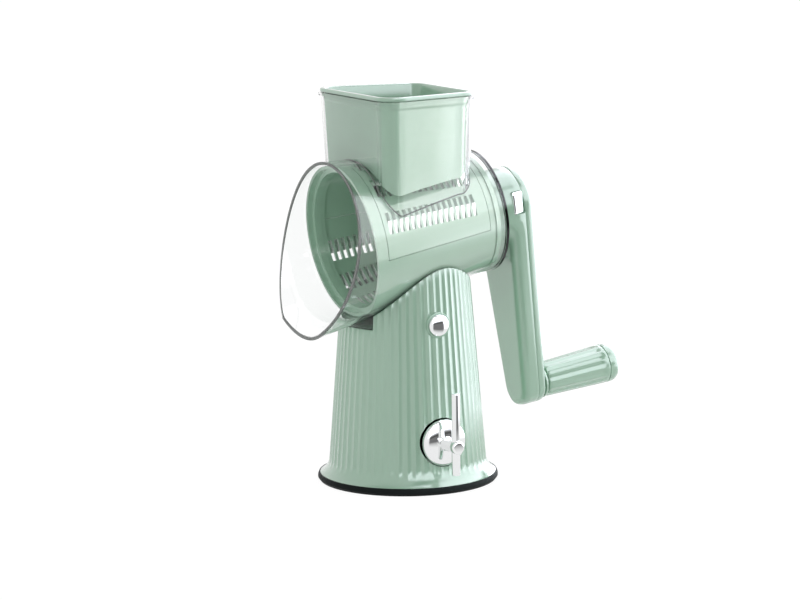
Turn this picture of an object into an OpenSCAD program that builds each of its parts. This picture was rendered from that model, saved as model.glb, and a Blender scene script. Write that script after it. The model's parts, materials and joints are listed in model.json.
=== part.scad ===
// Hand cranked rotary cabbage shredder on a suction foot.
// Origin at the middle of the foot on the table, +Z up, +X towards the crank.
// The drum turns about an axis in the XZ plane that tilts down to the mouth at -X.

/* [Foot and pedestal] */
// Diameter over the rubber foot
foot_d = 125; // [115:1:135]
// Height of the rubber rim of the foot
foot_h = 5; // [4:0.5:7]
// Thickness of the suction membrane
membrane_t = 2.2; // [1.6:0.2:3]
// Radius of the pedestal at table height, before its flare
pedestal_r = 55.8; // [53:0.2:57]
// Radius that the pedestal loses over the height of its cone
pedestal_taper = 12.8; // [10:0.4:15]
// Height of the cone that the pedestal is cut from
pedestal_h = 158; // [156:1:164]
// Number of flutes round the pedestal
flutes = 58; // [40:1:64]
// Depth of a flute
flute_depth = 1.3; // [0.8:0.1:1.6]
// Wall of the pedestal under its flutes
pedestal_wall = 2.6; // [2:0.2:3.2]
// Height where the smooth flared skirt meets the flutes
skirt_h = 14; // [11:0.5:17]
// Top of the deck that closes the pedestal
deck_z = 110.5; // [108:0.5:112]
// Thickness of that deck
deck_t = 3; // [2:0.2:4]

/* [Suction lever] */
// Height of the lever's axis
lever_z = 34; // [33:0.5:36]
// Radius of the domed dial
dial_r = 16; // [14:0.5:17]
// Length of the lever above its axis
bar_up = 36.5; // [30:0.5:40]
// Length of the lever below its axis
bar_down = 19.5; // [14:0.5:20]
// Diameter of the lever bar
bar_d = 6; // [5:0.2:7]
// Distance of the bar's middle from the dome of the dial
bar_standoff = 12.05; // [10:0.05:14]
// Radius of the cam shaft
shaft_r = 4; // [3:0.2:4.4]
// Lift of the suction stem over a quarter turn
stem_lift = 2.5; // [1.5:0.1:3]

/* [Release button] */
// Height of the release button
button_z = 113.8; // [113:0.2:115]
// Radius of the domed button
button_r = 7.5; // [6.5:0.1:8]
// Travel of the button
button_travel = 3.2; // [2.4:0.1:3.4]

/* [Drum] */
// Height of the drum axis above the table at the middle of the foot
axis_z = 175.4; // [174:0.2:177]
// Tilt of the drum axis, down towards the mouth, in degrees
tilt = 7.7; // [7:0.1:8.4]
// Radius of the drum at its front rim
drum_front_r = 52.6; // [52:0.1:53]
// Radius of the drum at the end of its cone
drum_rear_r = 40.3; // [39.8:0.1:41]
// Front rim of the drum, along its axis
drum_front = -49.5; // [-50:0.5:-49]
// End of the drum's cone, along its axis
drum_rear = 47.5; // [47:0.5:48]
// Wall of the drum
drum_wall = 2.6; // [2.2:0.1:3]
// Slots in each row
slots = 16; // [8:1:16]
// Pitch of the slots along the drum
slot_pitch = 4.62; // [4.4:0.02:4.62]
// Width of a slot
slot_w = 2.7; // [2.2:0.1:3]
// Length of a slot round the drum
slot_l = 14.6; // [12:0.2:15]
// Thickness of the comb steel
steel_t = 0.6; // [0.4:0.1:0.8]
// Height of the cutting edge over the drum
edge_rise = 0.7; // [0.3:0.1:0.7]

/* [Clear housing] */
// Wall of the clear plastic
clear_wall = 2.2; // [1.8:0.1:2.4]
// Running gap between the drum and the clear barrel
barrel_gap = 0.9; // [0.8:0.1:1.2]
// Rear end of the barrel, along the axis
barrel_rear = 57.8; // [57:0.2:58]
// How far the foot of the mouth stands ahead of its top, along the axis
mouth_reach = 36.8; // [32:0.4:40]
// Length of the chute along X at its rim
chute_x = 77.2; // [74:0.2:79]
// Middle of the chute along X
chute_mid = -3.4; // [-4.4:0.2:-2.6]
// Half width of the chute at its front edge
chute_front_y = 52.8; // [51:0.2:54]
// Half width of the chute at its rear edge
chute_rear_y = 42.9; // [41.5:0.1:44]
// Corner radius of the chute
chute_corner = 12.9; // [11:0.1:15]
// Height of the chute rim
chute_z = 267; // [262:1:269]
// Half width of the neck that sits in the pedestal
neck_y = 25; // [22:0.5:26]

/* [Pusher] */
// Height of the pusher's rim over the chute rim
pusher_rim = 2.7; // [2:0.1:3]
// Wall of the pusher
pusher_wall = 2; // [1.6:0.1:2.4]
// Radius of the pusher's hollow foot
pusher_foot_r = 66; // [60:1:72]

/* [Crank] */
// Throw of the crank, from the drum axis to the grip axis
throw = 130.5; // [124:0.5:134]
// Radius of the crank head
head_r = 26; // [24:0.5:27]
// Radius of the arm's foot
arm_foot_r = 14; // [13:0.5:15]
// Front face of the crank head, along the axis
head_front = 60.4; // [60:0.2:61]
// Front face of the arm, along the axis
arm_front = 69; // [67:0.5:71]
// Seam between the arm and its cover, along the axis
arm_seam = 81; // [80:0.5:82]
// Back of the cover, along the axis
arm_back = 88; // [87:0.5:89]
// Wall of the arm shells
arm_wall = 2.2; // [1.8:0.1:2.6]

/* [Grip] */
// Length of the fluted sleeve
sleeve_l = 49.5; // [44:0.5:54]
// Radius of the sleeve at the arm
sleeve_r = 12.2; // [11:0.1:13]
// Radius of the sleeve at its end
sleeve_end_r = 13.8; // [13:0.1:15]
// Scallops round the sleeve
scallops = 14; // [10:1:18]
// Depth of a scallop
scallop_depth = 0.8; // [0.4:0.1:1]
// Length of the domed cap
cap_l = 11.5; // [9:0.5:14]

/* [Fits] */
// Radial clearance of a running fit
run_gap = 0.05; // [0.02:0.01:0.1]
// Gap between parts that move close to each other
slip_gap = 0.5; // [0.4:0.05:0.6]
// Gap between parts that only lie next to each other
seat_gap = 0.3; // [0.2:0.05:0.4]
// Gap round a part that is let into another
inlay_gap = 0.1; // [0.05:0.01:0.15]

/* [Hidden] */
fine_fn = 120;
mid_fn = 64;
small_fn = 32;
hull_fn = 32;
eps = 0.01;
// Overrun of every cut
cut = 1;
mint = [0.74, 0.86, 0.81];
chrome = [0.82, 0.83, 0.84];
steel = [0.7, 0.71, 0.72];
rubber = [0.18, 0.21, 0.2];
clear = [0.82, 0.88, 0.88, 0.4];

// Foot and pedestal, worked out
foot_r = foot_d / 2;
pedestal_slope = pedestal_taper / pedestal_h;
function pedestal_at(z) = pedestal_r - pedestal_slope * z;
foot_chamfer = 1.4;
skirt_r = foot_r - foot_chamfer;
base_plate_t = 3;
base_plate_r = pedestal_at(skirt_h) - flute_depth - pedestal_wall - seat_gap;
base_plate_z = foot_h + seat_gap;
screw_inset = 4.2;
screw_ring_r = base_plate_r - screw_inset;
screw_turn = 45;
pad_slope = 8;
screw_shank_r = 1.5;
screw_head_r = 3;
screw_head_t = 1.8;
screw_l = 12;
screw_post_r = 5;
screws = 4;
flute_points = 6;
flute_sink = 0.4;

// Suction lever, worked out
wall_y = pedestal_at(lever_z);
dial_recess = 4.4;
dial_seat = wall_y - dial_recess;
dial_rim_t = 5;
dial_dome = 4;
dial_top = dial_seat + seat_gap + dial_rim_t + dial_dome;
bar_reach = dial_top + bar_standoff;
hub_socket = 3.6;
neck_pin_r = 3;
dial_gap = 0.7;
cup_wall = 2.4;
cup_back = dial_seat - cup_wall;
cup_depth = 1.6;
bush_r = 6.5;
bush_flange_r = 9;
bush_flange_t = 1.4;
bush_l = 6;
hub_r = 4.6;
cam_r = 6;
cam_t = 5;
stem_r = 5;
yoke_y = 4.2;
yoke_rim = 2.6;
cam_slack = 0.6;
cam_socket = 1.5;
stem_foot_r = 8;
stem_foot_t = 2;
pad_boss_r = 11;
pad_boss_h = 7;
guide_r = 16.4;
guide_h = 9;
ear_t = 5;
ear_r = 8;
ear_y = cam_t / 2 + slip_gap;
window_x = stem_lift + cam_r + slip_gap;
window_z = cam_r + cam_slack;

// Release button, worked out
bezel_seat = pedestal_at(button_z);
bezel_r = 8.9;
bezel_lip = 1.2;
bezel_t = 6;
button_bore_r = button_r + run_gap;
button_dome = 2.6;
button_skirt = 5.5;
button_boss_r = bezel_r + 1.6;
shank_w = 4.4;
shank_h = 4;
lock_w = 7.6;
lock_h = 4;
waist_l = 3.9;
lock_l = 6;
lock_seat = 0.7;
spring_wire = 0.7;
spring_steps = 12;
spring_sides = 5;
button_spring_r = 5.5;
button_spring_turns = 5;
spring_pocket = 5;
button_back = bezel_seat - bezel_t + button_travel + seat_gap;
spring_floor = bezel_seat - bezel_t - spring_pocket;
latch_hole_r = 4.8;
boss_floor = 2.4;

// Drum, worked out
taper = (drum_front_r - drum_rear_r) / (drum_rear - drum_front);
taper_a = atan(taper);
function drum_at(s) = drum_front_r - taper * (s - drum_front);
function bore_at(s) = drum_at(s) + barrel_gap;
function barrel_at(s) = bore_at(s) + clear_wall;
rim_step = 4;
rim_ring = 4.5;
rim_wall = 2;
rim_land = 2.2;
drum_groove = 1.2;
drum_groove_w = 1.6;
drum_end = drum_rear + 5.2;
drum_disc_t = 2.6;
drum_hub_r = 13;
drum_hub_l = 13;
hex_r = 6.4;
hex_depth = 10;
journal_r = 7.5;
panel_from_angle = -9.5;
panel_to_angle = 112.5;
ledge_l = 3;
ledge_t = 1.8;
ledge_step = 0.6;
panel_front = drum_front + rim_step + rim_ring;
panel_end = 3.5;
panel_rear = drum_rear - panel_end;
inner_front = panel_front + ledge_l;
inner_rear = panel_rear - ledge_l;
rear_ledge = panel_rear + ledge_l / 2;
row_angles = [18, 48, 78];
row_mid = -1.25;
row_l = (slots - 1) * slot_pitch;
tooth_share = 0.6;
tooth_w = slot_w - 2 * inlay_gap;
strip_w = 3;
strip_lap = 1;
strip_sink = 1.1;
row_mid_r = drum_at(row_mid);
root_a = asin(slot_l / 2 / row_mid_r);
root_drop = row_mid_r - sqrt(row_mid_r * row_mid_r - slot_l * slot_l / 4);

// Clear housing, worked out
mouth_lead = 3.3;
mouth_top = drum_front - mouth_lead;
mouth_bulge = 5.4;
mouth_mid_r = barrel_at(drum_front - mouth_reach / 3);
mouth_over_share = 1.2;
neck_wall = clear_wall;
neck_rear = 24;
neck_floor = deck_z + seat_gap;
neck_front_flush = 1;
neck_reach = pedestal_at(deck_z);
chute_draft = 3.7;
chute_foot_z = 186;
lip_out = 1.6;
lip_t = 2;
end_ring = 0.8;
end_ring_l = 2.2;
end_wall = 2.4;
bush_bore_r = 10.5;
end_boss_l = 1.6;

// Pusher, worked out
pusher_clear = 4.8;
pusher_low = 200;

// Crank, worked out
cover_round = 4.5;
round_share = 0.3;
bevel_share = 0.4;
dome_share = 0.25;
socket_l = 16;
square_w = 11;
latch_h = 15.4;
latch_w = 8.7;
latch_from = 72;
latch_mid = latch_from + latch_w / 2;
latch_up = 4;
latch_l = 14;
latch_travel = 2;
latch_proud = 0.4;
latch_wall = 3.4;
latch_flange = 1;
latch_flange_t = 2;
latch_spring_r = 3.2;
latch_spring_turns = 5;
head_core_r = 11;
arm_axle_r = 3.4;
cover_screw_r = 1.4;
cover_screw_head_r = 2.8;
cover_screw_shares = [0.26, 0.552, 0.828];
cover_screw_at = [for (share = cover_screw_shares) -share * throw];
arm_post_r = 3.6;
arm_steps = 20;
arm_inset = 1.2;

// Grip, worked out
collar_l = 3;
collar_r = 12.4;
sleeve_start = arm_back + collar_l + seat_gap;
sleeve_stop = sleeve_start + sleeve_l;
axle_r = 3.4;
axle_head_r = 6;
axle_head_t = 3;
cap_spigot = 5;
grip_wall = 3;

// Geometry helpers
module along_axis() {
    translate([0, 0, axis_z]) rotate([0, -tilt, 0]) children();
}

// Turns a profile of [radius, place along X] about the X axis
module turned(profile, fn = fine_fn) {
    rotate([0, 90, 0]) rotate_extrude($fn = fn) polygon(profile);
}

module rod(r, from, to, fn = mid_fn) {
    translate([from, 0, 0]) rotate([0, 90, 0]) cylinder(r = r, h = to - from, $fn = fn);
}

// A cylinder along -Y, from one distance off the XZ plane to another
module front_rod(r, from, to, fn = mid_fn) {
    translate([0, -from, 0]) rotate([90, 0, 0]) cylinder(r = r, h = to - from, $fn = fn);
}

// The cone of the drum with its radius made larger by grow
module drum_cone(from, to, grow = 0) {
    turned([[0, from], [drum_at(from) + grow, from], [drum_at(to) + grow, to], [0, to]]);
}

// Pie slice about the X axis, from one angle above the -Y side to another
module sector(from_a, to_a, from, to, reach) {
    steps = 3;
    step = (to_a - from_a) / steps;
    translate([from, 0, 0]) rotate([90, 0, 90])
        linear_extrude(height = to - from)
            polygon(concat([[0, 0]],
                [for (i = [0:steps]) reach * [-cos(from_a + i * step), sin(from_a + i * step)]]));
}

// Spring wire swept along a helix round the Z axis, from the floor up
module helix(r, wire, length, turns) {
    rings = turns * spring_steps;
    sides = spring_sides;
    points = [for (i = [0:rings], k = [0:sides - 1])
        let (a = 360 * turns * i / rings, b = 360 * k / sides, rr = r + wire / 2 * cos(b))
        [rr * cos(a), rr * sin(a), wire / 2 + (length - wire) * i / rings + wire / 2 * sin(b)]];
    walls = [for (i = [0:rings - 1], k = [0:sides - 1])
        let (a = i * sides + k, b = i * sides + (k + 1) % sides)
        each [[a, b, a + sides], [b, b + sides, a + sides]]];
    last = rings * sides;
    ends = [for (k = [1:sides - 2]) each [[0, k + 1, k], [last, last + k, last + k + 1]]];
    polyhedron(points = points, faces = concat(walls, ends));
}

// Suction foot
module suction_pad() {
    color(rubber) difference() {
        union() {
            rotate_extrude($fn = fine_fn) polygon([
                [0, 0], [foot_r - foot_chamfer, 0], [foot_r, foot_h / 2 - foot_chamfer / 2],
                [foot_r, foot_h / 2 + foot_chamfer / 2], [foot_r - foot_chamfer / 2, foot_h],
                [screw_ring_r, foot_h], [screw_ring_r - pad_slope, membrane_t],
                [0, membrane_t]]);
            cylinder(r1 = pad_boss_r + membrane_t, r2 = pad_boss_r, h = pad_boss_h, $fn = mid_fn);
        }
        translate([0, 0, membrane_t]) {
            cylinder(r = stem_foot_r + inlay_gap, h = stem_foot_t + 2 * inlay_gap, $fn = mid_fn);
            cylinder(r = stem_r + inlay_gap, h = pad_boss_h + cut, $fn = mid_fn);
        }
    }
}

// Fluted skin as a tapered prism, which ends in the flared skirt
module fluted_skin() {
    count = flutes * flute_points;
    low_r = pedestal_at(foot_h);
    linear_extrude(height = pedestal_h - foot_h, scale = pedestal_at(pedestal_h) / low_r)
        polygon([for (i = [0:count - 1])
            let (a = 360 * i / count, r = low_r - flute_depth / 2 * (1 - cos(flutes * a)))
            [r * cos(a), r * sin(a)]]);
}

module skirt() {
    steps = 5;
    low_r = skirt_r;
    high_r = pedestal_at(skirt_h) - flute_depth;
    rotate_extrude($fn = fine_fn) polygon(concat([[0, foot_h]],
        [for (i = [0:steps]) let (a = 90 * i / steps)
            [high_r + (low_r - high_r) * (1 - sin(a)), foot_h + (skirt_h - foot_h) * (1 - cos(a))]],
        [[0, skirt_h]]));
}

module pedestal_posts() {
    for (i = [0:screws - 1]) rotate(screw_turn + 360 * i / screws)
        translate([screw_ring_r, 0, base_plate_z + base_plate_t])
            difference() {
                cylinder(r = screw_post_r, h = screw_l, $fn = small_fn);
                translate([0, 0, -cut])
                    cylinder(r = screw_shank_r, h = screw_l - base_plate_t + 2 * cut, $fn = small_fn);
            }
}

module pedestal() {
    inner_low = pedestal_at(foot_h) - flute_depth - pedestal_wall;
    inner_deck = pedestal_at(deck_z) - flute_depth - pedestal_wall;
    inner_top = pedestal_at(pedestal_h) - flute_depth - pedestal_wall;
    color(mint) difference() {
        union() {
            difference() {
                union() {
                    translate([0, 0, foot_h]) fluted_skin();
                    skirt();
                }
                translate([0, 0, foot_h - cut])
                    cylinder(r1 = inner_low, r2 = inner_deck,
                        h = deck_z - deck_t - foot_h + cut, $fn = fine_fn);
                translate([0, 0, deck_z])
                    cylinder(r1 = inner_deck, r2 = inner_top, h = pedestal_h - deck_z + cut, $fn = fine_fn);
            }
            intersection() {
                translate([0, 0, lever_z]) front_rod(dial_r + dial_gap + cup_wall, cup_back, wall_y);
                cylinder(r1 = pedestal_at(0) - flute_depth - flute_sink,
                    r2 = pedestal_at(pedestal_h) - flute_depth - flute_sink, h = pedestal_h, $fn = fine_fn);
            }
            intersection() {
                translate([0, 0, button_z]) front_rod(button_boss_r, spring_floor - boss_floor, bezel_seat);
                cylinder(r1 = pedestal_at(0) - flute_depth - flute_sink,
                    r2 = pedestal_at(pedestal_h) - flute_depth - flute_sink, h = pedestal_h, $fn = fine_fn);
            }
            pedestal_posts();
        }
        along_axis() drum_cone(drum_front - mouth_reach, barrel_rear, barrel_gap + clear_wall + seat_gap);
        translate([0, 0, lever_z]) {
            front_rod(dial_r + dial_gap, dial_seat, wall_y + dial_r);
            front_rod(bush_r, cup_back - cut, dial_seat + cut);
        }
        translate([0, 0, button_z]) {
            front_rod(bezel_r, bezel_seat - bezel_t, bezel_seat + bezel_r);
            front_rod(button_spring_r + 2 * spring_wire, spring_floor, bezel_seat);
            front_rod(latch_hole_r, spring_floor - boss_floor - cut, bezel_seat);
        }
        translate([-pedestal_r - cut, -neck_y - seat_gap, deck_z])
            cube([pedestal_r + cut, 2 * (neck_y + seat_gap), pedestal_h]);
    }
}

// Plate that closes the pedestal, with the stem guide and the cam shaft's ear
module base_plate() {
    color(mint) difference() {
        union() {
            translate([0, 0, base_plate_z]) cylinder(r = base_plate_r, h = base_plate_t, $fn = fine_fn);
            translate([0, 0, base_plate_z]) cylinder(r = guide_r, h = guide_h, $fn = mid_fn);
            translate([-ear_r, -yoke_y - slip_gap - ear_t, base_plate_z])
                cube([2 * ear_r, ear_t, lever_z - base_plate_z]);
            translate([0, 0, lever_z]) front_rod(ear_r, yoke_y + slip_gap, yoke_y + slip_gap + ear_t);
        }
        translate([0, 0, base_plate_z - cut])
            cylinder(r = pad_boss_r + slip_gap + membrane_t,
                h = pad_boss_h + stem_lift + slip_gap - base_plate_z + cut, $fn = mid_fn);
        cylinder(r = stem_r + run_gap,
            h = lever_z - window_z - yoke_rim + stem_lift + slip_gap, $fn = mid_fn);
        translate([0, 0, lever_z]) front_rod(shaft_r + run_gap, 0, yoke_y + slip_gap + ear_t + cut);
        for (i = [0:screws - 1]) rotate(screw_turn + 360 * i / screws)
                translate([screw_ring_r, 0, base_plate_z - cut]) {
            cylinder(r = screw_shank_r + inlay_gap, h = base_plate_t + 2 * cut, $fn = small_fn);
            cylinder(r = screw_head_r + inlay_gap, h = screw_head_t + cut, $fn = small_fn);
        }
    }
}

module base_screws() {
    color(steel) for (i = [0:screws - 1]) rotate(screw_turn + 360 * i / screws)
        translate([screw_ring_r, 0, base_plate_z]) union() {
            cylinder(r = screw_head_r, h = screw_head_t, $fn = small_fn);
            cylinder(r = screw_shank_r, h = screw_l, $fn = small_fn);
        }
}

// Lever and what it turns
module lever_bush() {
    color(mint) translate([0, 0, lever_z]) difference() {
        union() {
            front_rod(bush_r, cup_back - bush_l, dial_seat);
            front_rod(bush_flange_r, cup_back - bush_flange_t, cup_back);
        }
        front_rod(shaft_r + run_gap, cup_back - bush_l - cut, dial_seat + cut);
    }
}

module lever_dial() {
    steps = 8;
    back = dial_seat + seat_gap;
    color(chrome) translate([0, 0, lever_z]) difference() {
        translate([0, -back, 0]) rotate([90, 0, 0]) rotate_extrude($fn = fine_fn)
            polygon(concat([[0, 0], [dial_r, 0]],
                [for (i = [0:steps]) let (a = 90 * i / steps)
                    [dial_r * cos(a), dial_rim_t + dial_dome * sin(a)]]));
        front_rod(shaft_r, back - cut, dial_top + cut);
    }
}

module lever_hub() {
    color(chrome) translate([0, 0, lever_z]) difference() {
        front_rod(hub_r, dial_top, bar_reach + hub_r);
        translate([0, -bar_reach, -hub_r - cut])
            cylinder(r = bar_d / 2, h = 2 * (hub_r + cut), $fn = small_fn);
        front_rod(neck_pin_r, dial_top - cut, dial_top + hub_socket);
    }
}

module lever_bar() {
    color(chrome) translate([0, -bar_reach, lever_z - bar_down])
        cylinder(r = bar_d / 2, h = bar_up + bar_down, $fn = small_fn);
}

module cam_shaft() {
    color(steel) translate([0, 0, lever_z]) union() {
        front_rod(shaft_r, cam_t / 2 - cam_socket, dial_top);
        front_rod(neck_pin_r, dial_top - cut, dial_top + hub_socket);
    }
}

module lift_cam() {
    color(steel) translate([0, 0, lever_z]) difference() {
        translate([stem_lift, 0, 0]) front_rod(cam_r, -cam_t / 2, cam_t / 2);
        front_rod(shaft_r, cam_t / 2 - cam_socket, cam_t / 2 + cut);
    }
}

module suction_stem() {
    yoke_top = lever_z + window_z + yoke_rim;
    yoke_low = lever_z - window_z - yoke_rim;
    yoke_x = window_x + yoke_rim;
    color(steel) difference() {
        union() {
            translate([0, 0, membrane_t + inlay_gap])
                cylinder(r = stem_foot_r, h = stem_foot_t, $fn = mid_fn);
            translate([0, 0, membrane_t + inlay_gap])
                cylinder(r = stem_r, h = yoke_low - membrane_t + eps, $fn = mid_fn);
            translate([-yoke_x, -yoke_y, yoke_low]) cube([2 * yoke_x, 2 * yoke_y, yoke_top - yoke_low]);
        }
        translate([-window_x, -yoke_y - cut, lever_z - window_z])
            cube([2 * window_x, 2 * (yoke_y + cut), 2 * window_z]);
    }
}

// Release button and the bar that it slides
module button_bezel() {
    color(mint) translate([0, 0, button_z]) difference() {
        union() {
            front_rod(bezel_r, bezel_seat - bezel_t, bezel_seat + bezel_lip / 2);
        }
        front_rod(button_bore_r, bezel_seat - bezel_t - cut, bezel_seat + bezel_lip);
    }
}

module release_button() {
    steps = 6;
    back = button_back;
    front = bezel_seat + bezel_lip;
    color(chrome) translate([0, -back, button_z]) rotate([90, 0, 0]) rotate_extrude($fn = mid_fn)
        polygon(concat([[0, 0], [button_r, 0]],
            [for (i = [0:steps]) let (a = 90 * i / steps)
                [button_r * cos(a), front - back + button_dome * sin(a)]]));
}

module latch_bar() {
    lock_back = neck_y + lock_seat;
    color(mint) translate([0, 0, button_z]) union() {
        translate([-lock_w / 2, -lock_back, -lock_h / 2]) cube([lock_w, lock_l, lock_h]);
        translate([-shank_w / 2, -lock_back - waist_l - eps, -shank_h / 4])
            cube([shank_w, waist_l + 2 * eps, shank_h / 2]);
        translate([-lock_w / 2, -button_back, -lock_h / 2])
            cube([lock_w, button_back - lock_back - waist_l, lock_h]);
    }
}

module button_spring() {
    color(steel) translate([0, -spring_floor, button_z]) rotate([90, 0, 0])
        helix(button_spring_r, spring_wire, button_back - spring_floor, button_spring_turns);
}

// Clear housing
function mouth_s(share) = mouth_top - mouth_reach * (1 - share) / 2 - mouth_bulge * (share * share - 1);

// Prism across Y whose rear edge is the curve of the mouth
module mouth_cutter(reach) {
    steps = 14;
    far = drum_front - 2 * mouth_reach;
    rotate([90, 0, 0]) linear_extrude(height = 2 * reach, center = true)
        polygon(concat([[far, reach]],
            [for (i = [0:steps]) let (share = mouth_over_share * (1 - 2 * i / steps))
                [mouth_s(share), share * mouth_mid_r]],
            [[far, -reach]]));
}

// Plan of the chute, a trapezium with round corners, drawn in by inset
module chute_plan(inset) {
    steps = 6;
    half_x = chute_x / 2 - inset;
    front_y = chute_front_y - inset;
    rear_y = chute_rear_y - inset;
    r = max(chute_corner - inset, chute_corner / 4);
    corners = [[chute_mid + half_x, rear_y, 0], [chute_mid - half_x, front_y, 90],
        [chute_mid - half_x, -front_y, 180], [chute_mid + half_x, -rear_y, 270]];
    polygon([for (c = corners, i = [0:steps])
        let (a = c[2] + 90 * i / steps, cx = c[0] - sign(c[0] - chute_mid) * r, cy = c[1] - sign(c[1]) * r)
        [cx + r * cos(a), cy + r * sin(a)]]);
}

// Chute wall as a prism that narrows downwards by the draft
module chute_prism(inset, from, to) {
    share = (chute_front_y - chute_draft) / chute_front_y;
    full = chute_z - chute_foot_z;
    function at(z) = 1 - (1 - share) * (chute_z - z) / full;
    translate([chute_mid, 0, from])
        linear_extrude(height = to - from, scale = at(to) / at(from))
            scale(at(from)) translate([-chute_mid, 0]) chute_plan(inset);
}

module housing() {
    front = drum_front - mouth_reach;
    skin = barrel_gap + clear_wall;
    color(clear) difference() {
        union() {
            along_axis() difference() {
                union() {
                    drum_cone(front, barrel_rear, skin);
                    rod(barrel_at(barrel_rear) + end_ring, barrel_rear - end_ring_l, barrel_rear, fine_fn);
                }
                mouth_cutter(2 * mouth_mid_r);
            }
            chute_prism(0, chute_foot_z, chute_z);
            chute_lip();
            intersection() {
                translate([-neck_reach, -neck_y, neck_floor])
                    cube([neck_reach + neck_rear, 2 * neck_y, axis_z - neck_floor]);
                translate([0, 0, neck_floor])
                    cylinder(r1 = pedestal_at(neck_floor) - neck_front_flush,
                        r2 = pedestal_at(axis_z) - neck_front_flush, h = axis_z - neck_floor, $fn = fine_fn);
            }
        }
        along_axis() drum_cone(front - cut, barrel_rear - end_wall, barrel_gap);
        chute_prism(clear_wall, chute_foot_z - clear_wall, chute_z + eps);
        translate([0, 0, chute_z - eps]) linear_extrude(height = lip_t + cut) chute_plan(clear_wall);
        intersection() {
            translate([-neck_reach + neck_wall, -neck_y + neck_wall, neck_floor - cut])
                cube([neck_reach + neck_rear - 2 * neck_wall, 2 * (neck_y - neck_wall), axis_z - neck_floor]);
            translate([0, 0, neck_floor - cut])
                cylinder(r1 = pedestal_at(neck_floor) - neck_front_flush - neck_wall,
                    r2 = pedestal_at(axis_z) - neck_front_flush - neck_wall,
                    h = axis_z - neck_floor, $fn = fine_fn);
            along_axis() neck_roof();
        }
        along_axis() rod(bush_bore_r, barrel_rear - end_wall - cut, barrel_rear + cut);
        translate([-lock_w / 2 - seat_gap, -neck_y - cut, button_z - lock_h / 2 - seat_gap])
            cube([lock_w + 2 * seat_gap, neck_wall + 2 * cut, lock_h + 2 * seat_gap]);
        translate([0, -neck_y - cut, button_z - shank_h / 4 - seat_gap])
            cube([neck_rear + cut, neck_wall + 2 * cut, shank_h / 2 + 2 * seat_gap]);
    }
}

// Room under the barrel's skin that the hollow of the neck may reach up to
module neck_roof() {
    reach = drum_front_r + mouth_reach;
    difference() {
        translate([-reach, -reach, -2 * reach]) cube([2 * reach, 2 * reach, 2 * reach]);
        drum_cone(-reach, reach, barrel_gap + clear_wall);
    }
}

module chute_lip() {
    translate([0, 0, chute_z - lip_t]) linear_extrude(height = lip_t) chute_plan(-lip_out);
}

module shaft_bush() {
    color(steel) along_axis() difference() {
        union() {
            rod(bush_bore_r, barrel_rear - end_wall, barrel_rear + eps);
            rod(bush_bore_r + end_boss_l, barrel_rear, head_front - slip_gap);
        }
        rod(journal_r + run_gap, barrel_rear - end_wall - cut, head_front);
    }
}

// Drum
module drum_frame() {
    step_s = drum_front + rim_step;
    disc_s = drum_end - drum_disc_t;
    wall = drum_wall;
    land = drum_wall + rim_land;
    ledge = drum_wall + ledge_t;
    color(mint) along_axis() difference() {
        union() {
            turned([[drum_at(drum_front) - rim_wall, drum_front], [drum_at(drum_front), drum_front],
                [drum_at(drum_rear), drum_rear], [drum_at(drum_rear) - drum_groove, drum_rear],
                [drum_at(drum_rear) - drum_groove, drum_rear + drum_groove_w],
                [drum_at(drum_rear), drum_rear + drum_groove_w],
                [drum_at(drum_end), drum_end], [0, drum_end], [0, disc_s],
                [drum_at(disc_s) - wall, disc_s], [drum_at(rear_ledge) - wall, rear_ledge],
                [drum_at(rear_ledge) - ledge, rear_ledge], [drum_at(inner_rear) - ledge, inner_rear],
                [drum_at(inner_rear) - wall, inner_rear], [drum_at(inner_front) - wall, inner_front],
                [drum_at(inner_front) - ledge, inner_front], [drum_at(panel_front) - ledge, panel_front],
                [drum_at(panel_front) - land, panel_front], [drum_at(step_s) - land, step_s],
                [drum_at(step_s) - rim_wall, step_s]]);
            rod(drum_hub_r, drum_end - drum_hub_l, drum_end - drum_disc_t / 2);
        }
        for (turn = [0, 180]) intersection() {
            sector(turn + panel_from_angle, turn + panel_to_angle, panel_front, panel_rear, 2 * drum_front_r);
            window_ring();
        }
        translate([drum_end - hex_depth, 0, 0]) rotate([0, 90, 0])
            cylinder(r = hex_r + inlay_gap, h = hex_depth + cut, $fn = 6);
    }
}

// Ring that the panels fill: shallow over their ledges and right through between them
module window_ring() {
    from = panel_front - cut;
    to = panel_rear + cut;
    front = inner_front - ledge_step;
    rear = inner_rear + ledge_step;
    deep = drum_wall + ledge_step;
    turned([[drum_at(from) + cut, from], [drum_at(to) + cut, to], [drum_at(to) - drum_wall, to],
        [drum_at(rear) - drum_wall, rear], [drum_at(rear) - deep, rear],
        [drum_at(front) - deep, front], [drum_at(front) - drum_wall, front],
        [drum_at(from) - drum_wall, from]]);
}

// Piece of the drum wall that one panel fills
module panel_blank(turn) {
    edge = asin(inlay_gap / drum_rear_r);
    from = panel_front + inlay_gap;
    to = panel_rear - inlay_gap;
    intersection() {
        turned([[drum_at(from), from], [drum_at(to), to],
            [drum_at(to) - drum_wall, to], [drum_at(from) - drum_wall, from]]);
        sector(turn + panel_from_angle + edge, turn + panel_to_angle - edge,
            from - cut, to + cut, 2 * drum_front_r);
    }
}

// Frame of one row of slots: X along the cone, Y round the drum, Z outwards
module row_frame(a) {
    rotate([90 - a, 0, 0]) translate([row_mid, 0, drum_at(row_mid)]) rotate([0, taper_a, 0]) children();
}

module slot_row() {
    for (i = [0:slots - 1])
        translate([-row_l / 2 + i * slot_pitch - slot_w / 2, -slot_l / 2, -2 * drum_wall])
            cube([slot_w, slot_l, 4 * drum_wall]);
}

// Frame at the low end of a slot, laid on the drum's tangent there
module root_frame() {
    translate([0, -slot_l / 2, -root_drop]) rotate([root_a, 0, 0]) children();
}

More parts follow.
